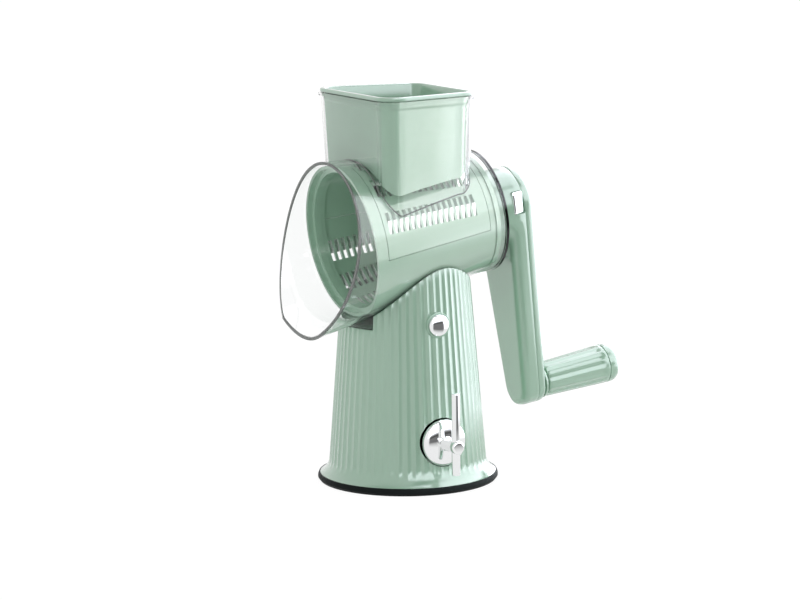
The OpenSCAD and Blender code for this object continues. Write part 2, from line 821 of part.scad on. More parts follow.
module strip_pocket() {
    span = row_l + 2 * slot_w;
    translate([-span / 2, -strip_w - inlay_gap, -strip_sink - steel_t])
        cube([span, strip_w + inlay_gap + strip_lap, steel_t + inlay_gap]);
}

module blade_panel(turn) {
    color(mint) along_axis() difference() {
        panel_blank(turn);
        for (a = row_angles) row_frame(turn + a) {
            slot_row();
            root_frame() strip_pocket();
        }
    }
}

module blade_panel_front() { blade_panel(0); }
module blade_panel_back() { blade_panel(180); }

// Steel comb of one row: a strip in the wall with a raised tooth in each slot
module comb() {
    reach = slot_l * tooth_share;
    span = row_l + 2 * slot_w - 2 * inlay_gap;
    low = -strip_sink - steel_t;
    tip = edge_rise + root_drop - reach * sin(root_a);
    union() {
        translate([-span / 2, -strip_w, low]) cube([span, strip_w, steel_t]);
        for (i = [0:slots - 1]) translate([-row_l / 2 + i * slot_pitch - tooth_w / 2, 0, 0])
            rotate([90, 0, 90]) linear_extrude(height = tooth_w)
                polygon([[-eps, low], [strip_lap, low], [reach, tip - steel_t], [reach, tip],
                    [strip_lap, low + steel_t], [-eps, low + steel_t]]);
    }
}

module shred_combs(turn) {
    color(steel) along_axis() for (a = row_angles) row_frame(turn + a) root_frame() comb();
}

module shred_combs_front() { shred_combs(0); }
module shred_combs_back() { shred_combs(180); }

// Drive shaft, with a six sided end in the drum and a square end in the crank
module drive_shaft() {
    color(steel) along_axis() union() {
        translate([drum_end - hex_depth + inlay_gap, 0, 0]) rotate([0, 90, 0])
            cylinder(r = hex_r, h = hex_depth, $fn = 6);
        rod(journal_r, drum_end, head_front);
        translate([head_front, -square_w / 2, -square_w / 2]) cube([socket_l, square_w, square_w]);
    }
}

// Crank
function arc(r, low, from_a, to_a, steps) = [for (i = [0:steps])
    let (a = from_a + (to_a - from_a) * i / steps) [r * cos(a), low + r * sin(a)]];

// Outline of the arm from the back: two round ends with straight sides
module arm_outline(top_r, low_r) {
    lean = asin((top_r - low_r) / throw);
    polygon(concat(arc(top_r, 0, -lean, 180 + lean, arm_steps),
        arc(low_r, -throw, 180 + lean, 360 - lean, arm_steps)));
}

// Extrudes an outline drawn in Y and Z along the axis
module across(from, to) {
    translate([from, 0, 0]) rotate([90, 0, 90]) linear_extrude(height = to - from) children();
}

module crank_arm() {
    arm_top_r = head_r - arm_inset;
    color(mint) along_axis() difference() {
        union() {
            rod(head_r, head_front, arm_seam, fine_fn);
            across(arm_front, arm_seam) arm_outline(arm_top_r, arm_foot_r);
        }
        difference() {
            across(arm_front + arm_wall, arm_seam + cut)
                arm_outline(arm_top_r - arm_wall, arm_foot_r - arm_wall);
            rod(head_r - arm_wall, head_front, arm_seam + 2 * cut);
            for (h = cover_screw_at) translate([0, 0, h])
                rod(arm_post_r, arm_front, arm_seam + 2 * cut, small_fn);
            translate([0, 0, -throw]) rod(arm_foot_r / 2, arm_front, arm_seam + 2 * cut, small_fn);
        }
        difference() {
            rod(head_r - arm_wall, head_front + arm_wall, arm_seam + cut);
            rod(head_core_r, head_front, arm_seam + 2 * cut);
            latch_box(-head_r, latch_l + arm_wall - cut, latch_flange + slip_gap + arm_wall,
                arm_wall + slip_gap, 3 * cut);
        }
        translate([head_front - cut, -square_w / 2 - inlay_gap, -square_w / 2 - inlay_gap])
            cube([socket_l + cut + inlay_gap, square_w + 2 * inlay_gap, square_w + 2 * inlay_gap]);
        for (h = cover_screw_at) translate([0, 0, h])
            rod(cover_screw_r, arm_front + arm_wall, arm_seam + cut, small_fn);
        translate([0, 0, -throw]) rod(arm_axle_r, arm_front + arm_wall, arm_seam + cut, small_fn);
        latch_box(-head_r - cut, latch_l, slip_gap / 2, slip_gap / 2, cut);
        latch_box(-head_r + latch_wall, latch_l - latch_wall - cut, latch_flange + slip_gap / 2,
            slip_gap / 2, cut);
    }
}

// Block in the crank head about the button: depth along Y, then growth in height and towards the front
module latch_box(from_y, depth, grow_h, grow_s, over) {
    translate([latch_from - grow_s, from_y, latch_up - latch_h / 2 - grow_h])
        cube([arm_seam - latch_from + grow_s + over, depth, latch_h + 2 * grow_h]);
}

// Half section of the cover's rounded edge
function cover_profile(r) = [[0, arm_seam], [r, arm_seam], [r, arm_back - cover_round],
    [r - cover_round * round_share, arm_back - cover_round * round_share],
    [r - cover_round, arm_back], [0, arm_back]];

// Cover with a soft edge over the back of the arm
module crank_cover() {
    color(mint) along_axis() difference() {
        hull() {
            turned(cover_profile(head_r), mid_fn);
            translate([0, 0, -throw]) turned(cover_profile(arm_foot_r), hull_fn);
        }
        difference() {
            across(arm_seam - cut, arm_back - arm_wall)
                arm_outline(head_r - 2 * arm_wall, arm_foot_r - arm_wall);
            for (h = cover_screw_at) translate([0, 0, h])
                rod(arm_post_r, arm_seam - 2 * cut, arm_back, small_fn);
            translate([0, 0, -throw]) rod(arm_foot_r / 2, arm_seam - 2 * cut, arm_back, small_fn);
        }
        for (h = cover_screw_at) translate([0, 0, h]) {
            rod(cover_screw_r + inlay_gap, arm_seam - cut, arm_back + cut, small_fn);
            rod(cover_screw_head_r + inlay_gap, arm_back - arm_wall, arm_back + cut, small_fn);
        }
        translate([0, 0, -throw]) rod(arm_axle_r, arm_seam - cut, arm_back + cut, small_fn);
    }
}

module cover_screws() {
    color(steel) along_axis() for (h = cover_screw_at) translate([0, 0, h]) union() {
        rod(cover_screw_head_r, arm_back - arm_wall, arm_back - inlay_gap, small_fn);
        rod(cover_screw_r, arm_front + 2 * arm_wall, arm_back - arm_wall + 2 * inlay_gap, small_fn);
    }
}

module crank_latch() {
    color(chrome) along_axis() union() {
        translate([latch_from, -head_r - latch_proud, latch_up - latch_h / 2])
            cube([latch_w, latch_proud + latch_wall + latch_flange_t, latch_h]);
        translate([latch_from, -head_r + latch_wall + inlay_gap, latch_up - latch_h / 2 - latch_flange])
            cube([latch_w, latch_flange_t - inlay_gap, latch_h + 2 * latch_flange]);
    }
}

module crank_latch_spring() {
    from_y = -head_r + latch_wall + latch_flange_t;
    color(steel) along_axis() translate([latch_mid, from_y, latch_up]) rotate([-90, 0, 0])
        helix(latch_spring_r, spring_wire, latch_l - cut - latch_wall - latch_flange_t, latch_spring_turns);
}

// Grip
module at_grip() {
    along_axis() translate([0, 0, -throw]) children();
}

module grip_collar() {
    color(mint) at_grip() difference() {
        turned([[0, arm_back], [collar_r, arm_back],
            [collar_r, arm_back + collar_l * (1 - bevel_share)],
            [collar_r - collar_l * bevel_share, arm_back + collar_l], [0, arm_back + collar_l]]);
        rod(arm_axle_r, arm_back - cut, arm_back + collar_l + cut, small_fn);
    }
}

module grip_axle() {
    color(steel) at_grip() union() {
        rod(axle_r, arm_front + 2 * arm_wall, sleeve_stop - cap_spigot - axle_head_t, mid_fn);
        rod(axle_head_r, sleeve_stop - cap_spigot - axle_head_t, sleeve_stop - cap_spigot, mid_fn);
    }
}

module grip_sleeve() {
    points = scallops * 8;
    bore_end = sleeve_stop - cap_spigot - axle_head_t - slip_gap;
    color(mint) at_grip() difference() {
        translate([sleeve_start, 0, 0]) rotate([90, 0, 90])
            linear_extrude(height = sleeve_l, scale = sleeve_end_r / sleeve_r)
                polygon([for (i = [0:points - 1])
                    let (a = 360 * i / points, r = sleeve_r - scallop_depth * abs(cos(scallops * a / 2)))
                    [r * cos(a), r * sin(a)]]);
        rod(axle_r + run_gap, sleeve_start - cut, sleeve_stop);
        rod(sleeve_r - grip_wall, bore_end, sleeve_stop + cut);
    }
}

module grip_cap() {
    steps = 8;
    spigot_r = sleeve_r - grip_wall - inlay_gap;
    base = sleeve_stop + inlay_gap;
    low = base - cap_spigot + slip_gap;
    color(mint) at_grip() turned(concat([[0, low], [spigot_r, low], [spigot_r, base], [sleeve_end_r, base]],
        [for (i = [0:steps]) let (a = 90 * i / steps)
            [sleeve_end_r * cos(a), base + cap_l * (dome_share + (1 - dome_share) * sin(a))]]));
}

// Pusher: a hollow cup whose foot is arched over the drum
module pusher() {
    skin = clear_wall + slip_gap;
    color(mint) difference() {
        union() {
            chute_prism(skin, pusher_low, chute_z + seat_gap + eps);
            translate([0, 0, chute_z + seat_gap])
                linear_extrude(height = pusher_rim) chute_plan(-lip_out / 4);
        }
        difference() {
            chute_prism(skin + pusher_wall, pusher_low, chute_z + seat_gap + pusher_rim + cut);
            pusher_arch(pusher_wall);
        }
        pusher_arch(0);
    }
}

module pusher_arch(grow) {
    top = axis_z + drum_front_r - pusher_clear;
    translate([-chute_x, 0, top - pusher_foot_r]) rotate([0, 90, 0])
        cylinder(r = pusher_foot_r + grow, h = 2 * chute_x, $fn = fine_fn);
}

suction_pad();
pedestal();
base_plate();
base_screws();
lever_bush();
lever_dial();
lever_hub();
lever_bar();
cam_shaft();
lift_cam();
suction_stem();
button_bezel();
release_button();
latch_bar();
button_spring();
housing();
shaft_bush();
drum_frame();
blade_panel_front();
blade_panel_back();
shred_combs_front();
shred_combs_back();
drive_shaft();
crank_arm();
crank_cover();
cover_screws();
crank_latch();
crank_latch_spring();
grip_collar();
grip_axle();
grip_sleeve();
grip_cap();
pusher();
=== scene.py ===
import bpy
import bmesh
import json
import math
import numpy as np
from mathutils import Matrix, Vector

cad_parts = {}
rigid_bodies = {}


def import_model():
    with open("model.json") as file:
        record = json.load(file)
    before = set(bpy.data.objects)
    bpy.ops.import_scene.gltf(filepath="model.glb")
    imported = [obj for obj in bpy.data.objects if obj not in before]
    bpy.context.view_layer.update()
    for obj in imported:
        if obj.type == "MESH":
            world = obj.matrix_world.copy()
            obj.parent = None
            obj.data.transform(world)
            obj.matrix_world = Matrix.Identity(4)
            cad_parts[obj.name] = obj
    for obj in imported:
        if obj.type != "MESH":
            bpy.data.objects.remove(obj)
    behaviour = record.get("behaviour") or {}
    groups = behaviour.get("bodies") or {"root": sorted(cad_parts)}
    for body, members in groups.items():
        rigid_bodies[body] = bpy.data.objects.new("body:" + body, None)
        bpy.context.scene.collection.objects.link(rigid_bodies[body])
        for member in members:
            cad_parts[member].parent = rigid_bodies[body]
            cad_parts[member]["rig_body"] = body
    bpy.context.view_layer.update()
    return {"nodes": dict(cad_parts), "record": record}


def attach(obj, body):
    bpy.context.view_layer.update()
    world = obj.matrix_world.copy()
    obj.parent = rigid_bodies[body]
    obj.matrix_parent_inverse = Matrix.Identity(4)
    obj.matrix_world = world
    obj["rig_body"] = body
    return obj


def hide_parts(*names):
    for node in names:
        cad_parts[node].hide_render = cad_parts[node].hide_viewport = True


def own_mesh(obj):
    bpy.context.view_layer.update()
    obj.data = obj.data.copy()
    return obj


print("loading the packed model")
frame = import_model()
nodes = frame["nodes"]
mm = 0.001


# camera
print("setting up the camera")
cameraView = {
    "azimuth": -27.5,      # degrees from the front, towards the mouth
    "elevation": 9.27,
    "distance": 2.058,
    "roll": -0.67,
    "target": (-0.00466, 0.0, 0.12496),
    "lens": 134.5,
    "sensor": 36,
    "clipEnd": 20,
}


def placeCamera(view):
    azimuth, elevation, roll = (math.radians(view[k]) for k in ("azimuth", "elevation", "roll"))
    level = math.cos(elevation)
    back = Vector((math.sin(azimuth) * level, -math.cos(azimuth) * level, math.sin(elevation)))
    side = Vector((0, 0, 1)).cross(back).normalized()
    up = back.cross(side)
    right = side * math.cos(roll) + up * math.sin(roll)
    top = -side * math.sin(roll) + up * math.cos(roll)
    spot = Vector(view["target"]) + back * view["distance"]
    camera = bpy.data.objects.new("camera", bpy.data.cameras.new("camera"))
    camera.data.sensor_width = view["sensor"]
    camera.data.lens = view["lens"]
    camera.data.clip_end = view["clipEnd"]
    camera.matrix_world = Matrix([[right[i], top[i], back[i], spot[i]] for i in range(3)] + [[0, 0, 0, 1]])
    bpy.context.collection.objects.link(camera)
    bpy.context.scene.camera = camera


placeCamera(cameraView)


# materials
print("mixing the materials")


class Tree:
    # short hand for a node tree
    def __init__(self, tree):
        self.tree = tree

    def add(self, kind, **inputs):
        node = self.tree.nodes.new(kind)
        for key, value in inputs.items():
            node.inputs[key.replace("_", " ")].default_value = value
        return node

    def feed(self, slot, source):
        # a number or a colour is set, and anything else is linked
        if isinstance(source, (int, float)):
            slot.default_value = source
        elif isinstance(source, tuple):
            slot.default_value = (*source, 1)
        else:
            self.tree.links.new(source, slot)

    def ramp(self, source, low, high, first, second):
        node = self.add("ShaderNodeMapRange")
        for key, value in zip(("From Min", "From Max", "To Min", "To Max"), (low, high, first, second)):
            node.inputs[key].default_value = value
        self.feed(node.inputs["Value"], source)
        return node.outputs["Result"]

    def blend(self, share, first, second):
        node = self.add("ShaderNodeMix")
        node.data_type = "RGBA"
        for key, source in (("Factor", share), ("A", first), ("B", second)):
            self.feed(node.inputs[key], source)
        return node.outputs["Result"]

    def calc(self, operation, *sources):
        node = self.add("ShaderNodeMath")
        node.operation = operation
        for slot, source in zip(node.inputs, sources):
            self.feed(slot, source)
        return node.outputs[0]

    def vector(self, operation, source, other=(0, 0, 0)):
        node = self.add("ShaderNodeVectorMath")
        node.operation = operation
        self.feed(node.inputs[0], source)
        node.inputs[1].default_value = other
        return node.outputs


class Mixer(Tree):
    # one material, whose noises lie on the piece's own coordinates
    def __init__(self, name):
        self.material = bpy.data.materials.new(name)
        self.material.use_nodes = True
        super().__init__(self.material.node_tree)
        self.shader = self.tree.nodes["Principled BSDF"]
        self.output = self.tree.nodes["Material Output"]
        self.where = self.add("ShaderNodeTexCoord").outputs["Object"]

    def noise(self, scale, detail, rough=0.5, stretch=None):
        node = self.add("ShaderNodeTexNoise", Scale=scale, Detail=detail, Roughness=rough)
        source = self.where
        if stretch:
            mapping = self.add("ShaderNodeMapping", Scale=stretch)
            self.feed(mapping.inputs["Vector"], source)
            source = mapping.outputs["Vector"]
        self.feed(node.inputs["Vector"], source)
        return node.outputs["Fac"]

    def paint(self, share, first, second):
        self.feed(self.shader.inputs["Base Color"], self.blend(share, first, second))

    def haze(self, share, low, high):
        # a noise stays near its middle, so that stretch of it covers the whole range of roughness
        self.feed(self.shader.inputs["Roughness"], self.ramp(share, 0.3, 0.7, low, high))

    def bump(self, height, strength):
        node = self.add("ShaderNodeBump", Strength=strength, Distance=0.2 * mm)
        self.feed(node.inputs["Height"], height)
        self.feed(self.shader.inputs["Normal"], node.outputs["Normal"])

    def set(self, **values):
        for key, value in values.items():
            self.shader.inputs[key.replace("_", " ")].default_value = value

    def join(self, share, other):
        # the other shader takes over where share is 1
        choose = self.add("ShaderNodeMixShader")
        for slot, source in zip(choose.inputs, (share, self.shader.outputs[0], other.outputs[0])):
            self.feed(slot, source)
        self.feed(self.output.inputs["Surface"], choose.outputs[0])


def linear(srgb):
    # sRGB bytes to linear light
    return tuple(c / 255 / 12.92 if c <= 10 else ((c / 255 + 0.055) / 1.055) ** 2.4 for c in srgb)


mintLook = {
    "pale": (161, 196, 173), "deep": (157, 193, 169),                       # sRGB bytes
    "cloud": (25.0, 2.0), "haze": (140.0, 4.0), "peel": (420.0, 2.0),       # each noise's scale and detail
    "rough": (0.19, 0.23), "peelDepth": 0.004, "index": 1.6, "coatRough": 0.14,
}


def mintPlastic(look):
    # two close shades that drift into each other, under a coat with a faint peel
    mix = Mixer("mintPlastic")
    mix.paint(mix.noise(*look["cloud"]), linear(look["deep"]), linear(look["pale"]))
    mix.haze(mix.noise(*look["haze"]), *look["rough"])
    mix.bump(mix.noise(*look["peel"]), look["peelDepth"])
    mix.set(IOR=look["index"], Coat_Weight=1.0, Coat_Roughness=look["coatRough"], Coat_IOR=look["index"])
    return mix.material


clearLook = {
    "tint": (0.98, 0.988, 0.985), "shadow": (0.96, 0.975, 0.97), "rough": 0.01, "index": 1.46,
    "wave": (60.0, 1.0), "waveDepth": 0.01,
}


def clearPlastic(look):
    # refracts what is seen, and lets light fall straight through to what lies behind it
    mix = Mixer("clearPlastic")
    mix.set(Base_Color=(*look["tint"], 1), Transmission_Weight=1.0)
    mix.set(Roughness=look["rough"], IOR=look["index"])
    mix.bump(mix.noise(*look["wave"]), look["waveDepth"])
    path = mix.add("ShaderNodeLightPath")
    mix.join(path.outputs["Is Shadow Ray"], mix.add("ShaderNodeBsdfTransparent", Color=(*look["shadow"], 1)))
    return mix.material


# painted shade of the clear plastic's cut edges: two close greys that drift by a noise
edgeLook = {
    "deep": (0.12, 0.135, 0.125), "pale": (0.19, 0.205, 0.195), "cloud": (60.0, 2.0),
    "rough": 0.12, "index": 1.5, "coat": 0.5, "coatRough": 0.05,
}


def paintedEdgeShade(look):
    # painted shade: this grey stands for the cut edge of clear plastic, which looks grey because little light
    # comes out of it
    mix = Mixer("paintedEdgeShade")
    mix.paint(mix.noise(*look["cloud"]), look["deep"], look["pale"])
    mix.set(Roughness=look["rough"], IOR=look["index"])
    mix.set(Coat_Weight=look["coat"], Coat_Roughness=look["coatRough"])
    return mix.material


chromeLook = {"colour": (0.86, 0.87, 0.87), "haze": (90.0, 3.0), "rough": (0.035, 0.07)}


def chromePlate(look):
    mix = Mixer("chromePlate")
    mix.set(Metallic=1.0, Base_Color=(*look["colour"], 1))
    mix.haze(mix.noise(*look["haze"]), *look["rough"])
    return mix.material


steelLook = {
    "deep": (0.58, 0.58, 0.58), "pale": (0.72, 0.72, 0.72), "rough": (0.18, 0.34),
    "grain": (900.0, 2.0, 0.6), "stretch": (1.0, 0.05, 0.05),       # long streaks across the teeth
}


def brightSteel(look):
    mix = Mixer("brightSteel")
    grain = mix.noise(*look["grain"], look["stretch"])
    mix.paint(grain, look["deep"], look["pale"])
    mix.haze(grain, *look["rough"])
    mix.set(Metallic=1.0)
    return mix.material


rubberLook = {
    "deep": (16, 21, 21), "pale": (26, 32, 31), "cloud": (30.0, 3.0),       # sRGB bytes
    "haze": (500.0, 3.0), "rough": (0.42, 0.62), "grain": (1400.0, 2.0), "grainDepth": 0.15, "shine": 0.08,
}


def softRubber(look):
    mix = Mixer("softRubber")
    mix.paint(mix.noise(*look["cloud"]), linear(look["deep"]), linear(look["pale"]))
    mix.haze(mix.noise(*look["haze"]), *look["rough"])
    mix.bump(mix.noise(*look["grain"]), look["grainDepth"])
    mix.set(Specular_IOR_Level=look["shine"])
    return mix.material


finishes = {
    "body_plastic": mintPlastic(mintLook),
    "clear_plastic": clearPlastic(clearLook),
    "edge": paintedEdgeShade(edgeLook),
    "chrome": chromePlate(chromeLook),
    "steel": brightSteel(steelLook),
    "rubber": softRubber(rubberLook),
}
nodeSlots = {s["node"]: s["material_slot"] for s in frame["record"]["subparts"]}
for name, piece in nodes.items():
    piece.data.materials.clear()
    piece.data.materials.append(finishes[nodeSlots[name]])


# shapes: every new piece is a grid of points in mm, worked out with numpy
print("shaping the pieces")
drumAxis = {"height": 175.4, "tilt": 7.7}           # mm and degrees, as the model has them
frontHeights = {"dial": 34.0, "button": 113.8}      # mm, of the two round pieces in the pedestal's front


def onAxis(s, y, h):
    # along the drum axis by s, sideways by y and square to it by h: turned by the tilt, raised to the axis
    tilt = math.radians(drumAxis["tilt"])
    s, y, h = np.broadcast_arrays(np.asarray(s, float), y, h)
    x = s * math.cos(tilt) - h * math.sin(tilt)
    z = drumAxis["height"] + s * math.sin(tilt) + h * math.cos(tilt)
    return np.stack([x, y, z], axis=-1)


def fromAxis(x, z):
    # the way back: s and h of a point at x and at the height z
    tilt, up = math.radians(drumAxis["tilt"]), z - drumAxis["height"]
    return x * math.cos(tilt) + up * math.sin(tilt), up * math.cos(tilt) - x * math.sin(tilt)


def towardsFront(height):
    # along is the distance from the middle towards the front
    return lambda along, across, up: np.stack([across, -along, height + up], axis=-1)


def upright(along, across, up):
    return np.stack([across, up, along], axis=-1)


def eased(share):
    # from 0 to 1 with a level start and end: three squares less two cubes
    share = np.clip(share, 0, 1)
    return share ** 2 * (3 - 2 * share)


def halved(low, high, below, rounds=40):
    # the height between low and high at which below stops being true, found by halving
    for _ in range(rounds):
        middle = (low + high) / 2
        isBelow = below(middle)
        low, high = np.where(isBelow, middle, low), np.where(isBelow, high, middle)
    return low


def rounded(points, radii, steps=4):
    # each corner becomes a curve that leaves its sides at the given distance: both sides blended by squares
    points = np.asarray(points, float)
    path = [points[:1]]
    share = np.linspace(0, 1, steps + 1)[:, None]
    for before, corner, after, radius in zip(points[:-2], points[1:-1], points[2:], radii):
        lead, tail = before - corner, after - corner
        start = corner + lead / np.linalg.norm(lead) * radius
        stop = corner + tail / np.linalg.norm(tail) * radius
        path.append((1 - share) ** 2 * start + 2 * share * (1 - share) * corner + share ** 2 * stop)
    path.append(points[-1:])
    return np.concatenate(path)


def turnedGrid(profile, place, steps=96):
    # a profile of radius and distance carried round its axis: place takes along, across and up
    turn = np.linspace(0, 2 * math.pi, steps, endpoint=False)[:, None]
    radius, along = profile[None, :, 0], profile[None, :, 1]
    return place(along + 0 * turn, radius * np.cos(turn), radius * np.sin(turn))


def ringProfile(inner, outer, back, front, radii):
    # the section of a flat ring, with its two outer corners and the inner front one rounded
    return rounded([(inner, back), (outer, back), (outer, front), (inner, front), (inner, back)], radii)


def cleanMesh(mesh, crease, merge=2e-6):
    # closes seams and poles, points faces outwards and shades smooth up to the crease angle
    work = bmesh.new()
    work.from_mesh(mesh)
    bmesh.ops.remove_doubles(work, verts=work.verts, dist=merge)
    bmesh.ops.dissolve_degenerate(work, dist=merge / 2, edges=work.edges)
    bmesh.ops.recalc_face_normals(work, faces=work.faces)
    limit = math.radians(crease)
    for face in work.faces:
        face.smooth = True
    for edge in work.edges:
        edge.smooth = not (len(edge.link_faces) == 2 and edge.calc_face_angle(0) > limit)
    work.to_mesh(mesh)
    work.free()


def gridShell(name, grid, closed=False, crease=38):
    # each grid point is joined to its next neighbours; the first direction closes on itself, and the second
    # one does where closed is set
    countU, countV = grid.shape[:2]
    index = np.arange(countU * countV).reshape(countU, countV)
    ahead = np.roll(index, -1, axis=0)
    faces = np.stack([index, ahead, np.roll(ahead, -1, axis=1), np.roll(index, -1, axis=1)], axis=-1)
    faces = faces[:, : countV - (not closed)].reshape(-1, 4)
    mesh = bpy.data.meshes.new(name)
    mesh.vertices.add(countU * countV)
    mesh.vertices.foreach_set("co", (grid.reshape(-1, 3) * mm).astype(np.float32).ravel())
    mesh.loops.add(faces.size)
    mesh.loops.foreach_set("vertex_index", faces.astype(np.int32).ravel())
    mesh.polygons.add(len(faces))
    mesh.polygons.foreach_set("loop_start", np.arange(0, faces.size, 4, dtype=np.int32))
    mesh.update(calc_edges=True)
    mesh.validate()
    piece = bpy.data.objects.new(name, mesh)
    bpy.context.collection.objects.link(piece)
    cleanMesh(mesh, crease)
    return piece


def dress(piece, finish, body, stands=()):
    piece.data.materials.clear()
    piece.data.materials.append(finishes[finish])
    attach(piece, body)
    if stands:
        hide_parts(*stands)
    return piece


def gridPiece(name, grid, finish, body, stands=(), **joins):
    return dress(gridShell(name, grid, **joins), finish, body, stands)


def cutAway(piece, cutter, crease=42):
    # takes the cutter's volume out of the piece for good
    step = piece.modifiers.new("cut", "BOOLEAN")
    step.object = cutter
    step.solver = "EXACT"
    graph = bpy.context.evaluated_depsgraph_get()
    mesh = bpy.data.meshes.new_from_object(piece.evaluated_get(graph))
    piece.modifiers.clear()
    piece.data = mesh
    mesh.name = piece.name
    bpy.data.objects.remove(cutter)
    cleanMesh(mesh, crease)


def drill(piece, radius, start, stop, place, steps=96):
    # a round hole from start to stop along the axis that place describes
    profile = np.array([(0, start), (radius, start), (radius, stop), (0, stop)], float)
    cutAway(piece, gridShell("cutter", turnedGrid(profile, place, steps)))


# pedestal
pedestalShape = {
    "radius": 55.8, "taper": 0.081, "inset": 0.15, "flutes": 58, "depth": 0.66, "cusp": 0.03,
    "fluteFrom": 9.5, "fluteFade": 6.5, "columns": 14, "rows": 46, "rowBunch": 1.5,
    "low": 5.0, "skirtTop": 15.5, "flare": 5.7, "flareBend": 2.6, "wall": 3.9, "innerStep": 3.0,
    "notch": 25.3, "notchRadius": 46.4, "notchStep": 1e-5, "deck": 110.5,
    "barrelRadius": 56.0, "barrelTaper": 0.1268, "barrelFront": -49.5, "searchFrom": 60.0, "searchTo": 172.0,
    "hem": ((0.8, 0.0), (0.2, 0.15)), "hemTop": 0.7,        # inset and rise from the lowest edge
    "lip": ((0.12, 0.4), (0.5, 0.08)), "lipFrom": 0.9, "lipTop": (1.1, 0.1),      # inset and drop
    "innerLip": ((0.5, 0.1), (0.0, 0.6)), "innerShares": (0.66, 0.33),
    "dialRecess": 16.7, "dialFloor": 48.65, "bezel": 8.9, "bezelFloor": 40.6, "beyond": 80,
}


def underBarrel(angle, radiusAt, shape):
    # the height at which a wall line meets the barrel's cone
    def below(z):
        radius = radiusAt(z)
        s, h = fromAxis(radius * np.cos(angle), z)
        barrel = shape["barrelRadius"] - shape["barrelTaper"] * (s - shape["barrelFront"])
        return np.hypot(radius * np.sin(angle), h) >= barrel

    return halved(np.full_like(angle, shape["searchFrom"]), np.full_like(angle, shape["searchTo"]), below)


def makePedestal(shape):
    # radius = cone + flare that dies out upwards - depth * scallop, where the scallop is the size of a sine
    # with its cusps rounded, so that the ridges stay narrow; the top edge follows the barrel, and is level
    # with the deck at the notch
    side = math.asin(shape["notch"] / shape["notchRadius"])
    step = shape["notchStep"]
    edges = [math.pi + turn + jump for turn in (-side, side) for jump in (-step, step)]
    plain = np.linspace(0, 2 * math.pi, shape["flutes"] * shape["columns"], endpoint=False)
    angle = np.sort(np.concatenate([plain, edges]))
    least = math.sqrt(shape["cusp"])

    def cone(z):
        return shape["radius"] - shape["taper"] * z

    def inner(z):
        return cone(z) - shape["wall"]

    def skin(z):
        fall = np.clip(1 - (z - shape["low"]) / (shape["skirtTop"] - shape["low"]), 0, 1)
        fade = eased((z - shape["fluteFrom"]) / shape["fluteFade"])
        half = np.sin(shape["flutes"] / 2 * (angle[:, None] if z.ndim > 1 else angle))
        wave = (np.sqrt(half ** 2 + shape["cusp"]) - least) / (math.sqrt(1 + shape["cusp"]) - least)
        plain = cone(z) + shape["flare"] * fall ** shape["flareBend"]
        return plain - shape["depth"] * fade * wave - shape["inset"]

    atNotch = np.abs(angle - math.pi) < side
    topOut = underBarrel(angle, lambda z: cone(z) - shape["depth"] / 2, shape)
    topOut = np.where(atNotch, shape["deck"], topOut)
    topIn = np.where(atNotch, shape["deck"], underBarrel(angle, inner, shape))
    low, bottom = shape["low"], shape["low"] + shape["innerStep"]
    hem = [(inner(bottom), bottom), (inner(low), low)]
    hem += [(cone(low) + shape["flare"] - inset, low + rise) for inset, rise in shape["hem"]]
    rings = [(np.full_like(angle, r), np.full_like(angle, z)) for r, z in hem]
    start, stop = low + shape["hemTop"], topOut[:, None] - shape["lipFrom"]
    rows = start + np.linspace(0, 1, shape["rows"]) ** shape["rowBunch"] * (stop - start)
    rings += list(zip(skin(rows).T, rows.T))
    edge = skin(topOut)
    rings += [(edge - inset, topOut - drop) for inset, drop in shape["lip"]]
    inset, share = shape["lipTop"]
    rings.append((edge - inset, topOut + share * (topIn - topOut)))
    rings += [(inner(topIn) + out, topIn - drop) for out, drop in shape["innerLip"]]
    for share in shape["innerShares"]:
        z = topIn * share + bottom * (1 - share)
        rings.append((inner(z), z))
    grid = np.stack([np.stack([r * np.cos(angle), r * np.sin(angle), z], axis=-1) for r, z in rings], axis=1)
    piece = gridShell("pedestalShell", grid, closed=True, crease=50)
    drill(piece, shape["dialRecess"], shape["dialFloor"], shape["beyond"], towardsFront(frontHeights["dial"]))
    drill(piece, shape["bezel"], shape["bezelFloor"], shape["beyond"], towardsFront(frontHeights["button"]))
    dress(piece, "body_plastic", "stand", ["pedestal"])


makePedestal(pedestalShape)

deckShape = {
    "radius": 43.0, "topRadius": 42.8, "top": 110.5, "thick": 3.0, "round": 0.3,
    "well": 7.9, "wellFrom": 40.4, "wellTo": 46.0, "wellSteps": 48,      # room for the pressed button
}


def makeDeck(shape):
    low, top = shape["top"] - shape["thick"], shape["top"]
    corners = [(0, low), (shape["radius"], low), (shape["topRadius"], top), (0, top)]
    profile = rounded(corners, (shape["round"], shape["round"]))
    deck = gridShell("deckPlate", turnedGrid(profile, upright))
    place = towardsFront(frontHeights["button"])
    drill(deck, shape["well"], shape["wellFrom"], shape["wellTo"], place, shape["wellSteps"])
    dress(deck, "body_plastic", "stand")


makeDeck(deckShape)

dialFloorShape = {"inner": 6.5, "outer": 17.5, "back": 46.25, "front": 48.65, "radii": (0.3, 0.3, 0.3)}
gridPiece("dialFloor", turnedGrid(ringProfile(**dialFloorShape), towardsFront(frontHeights["dial"])),
          "body_plastic", "stand")


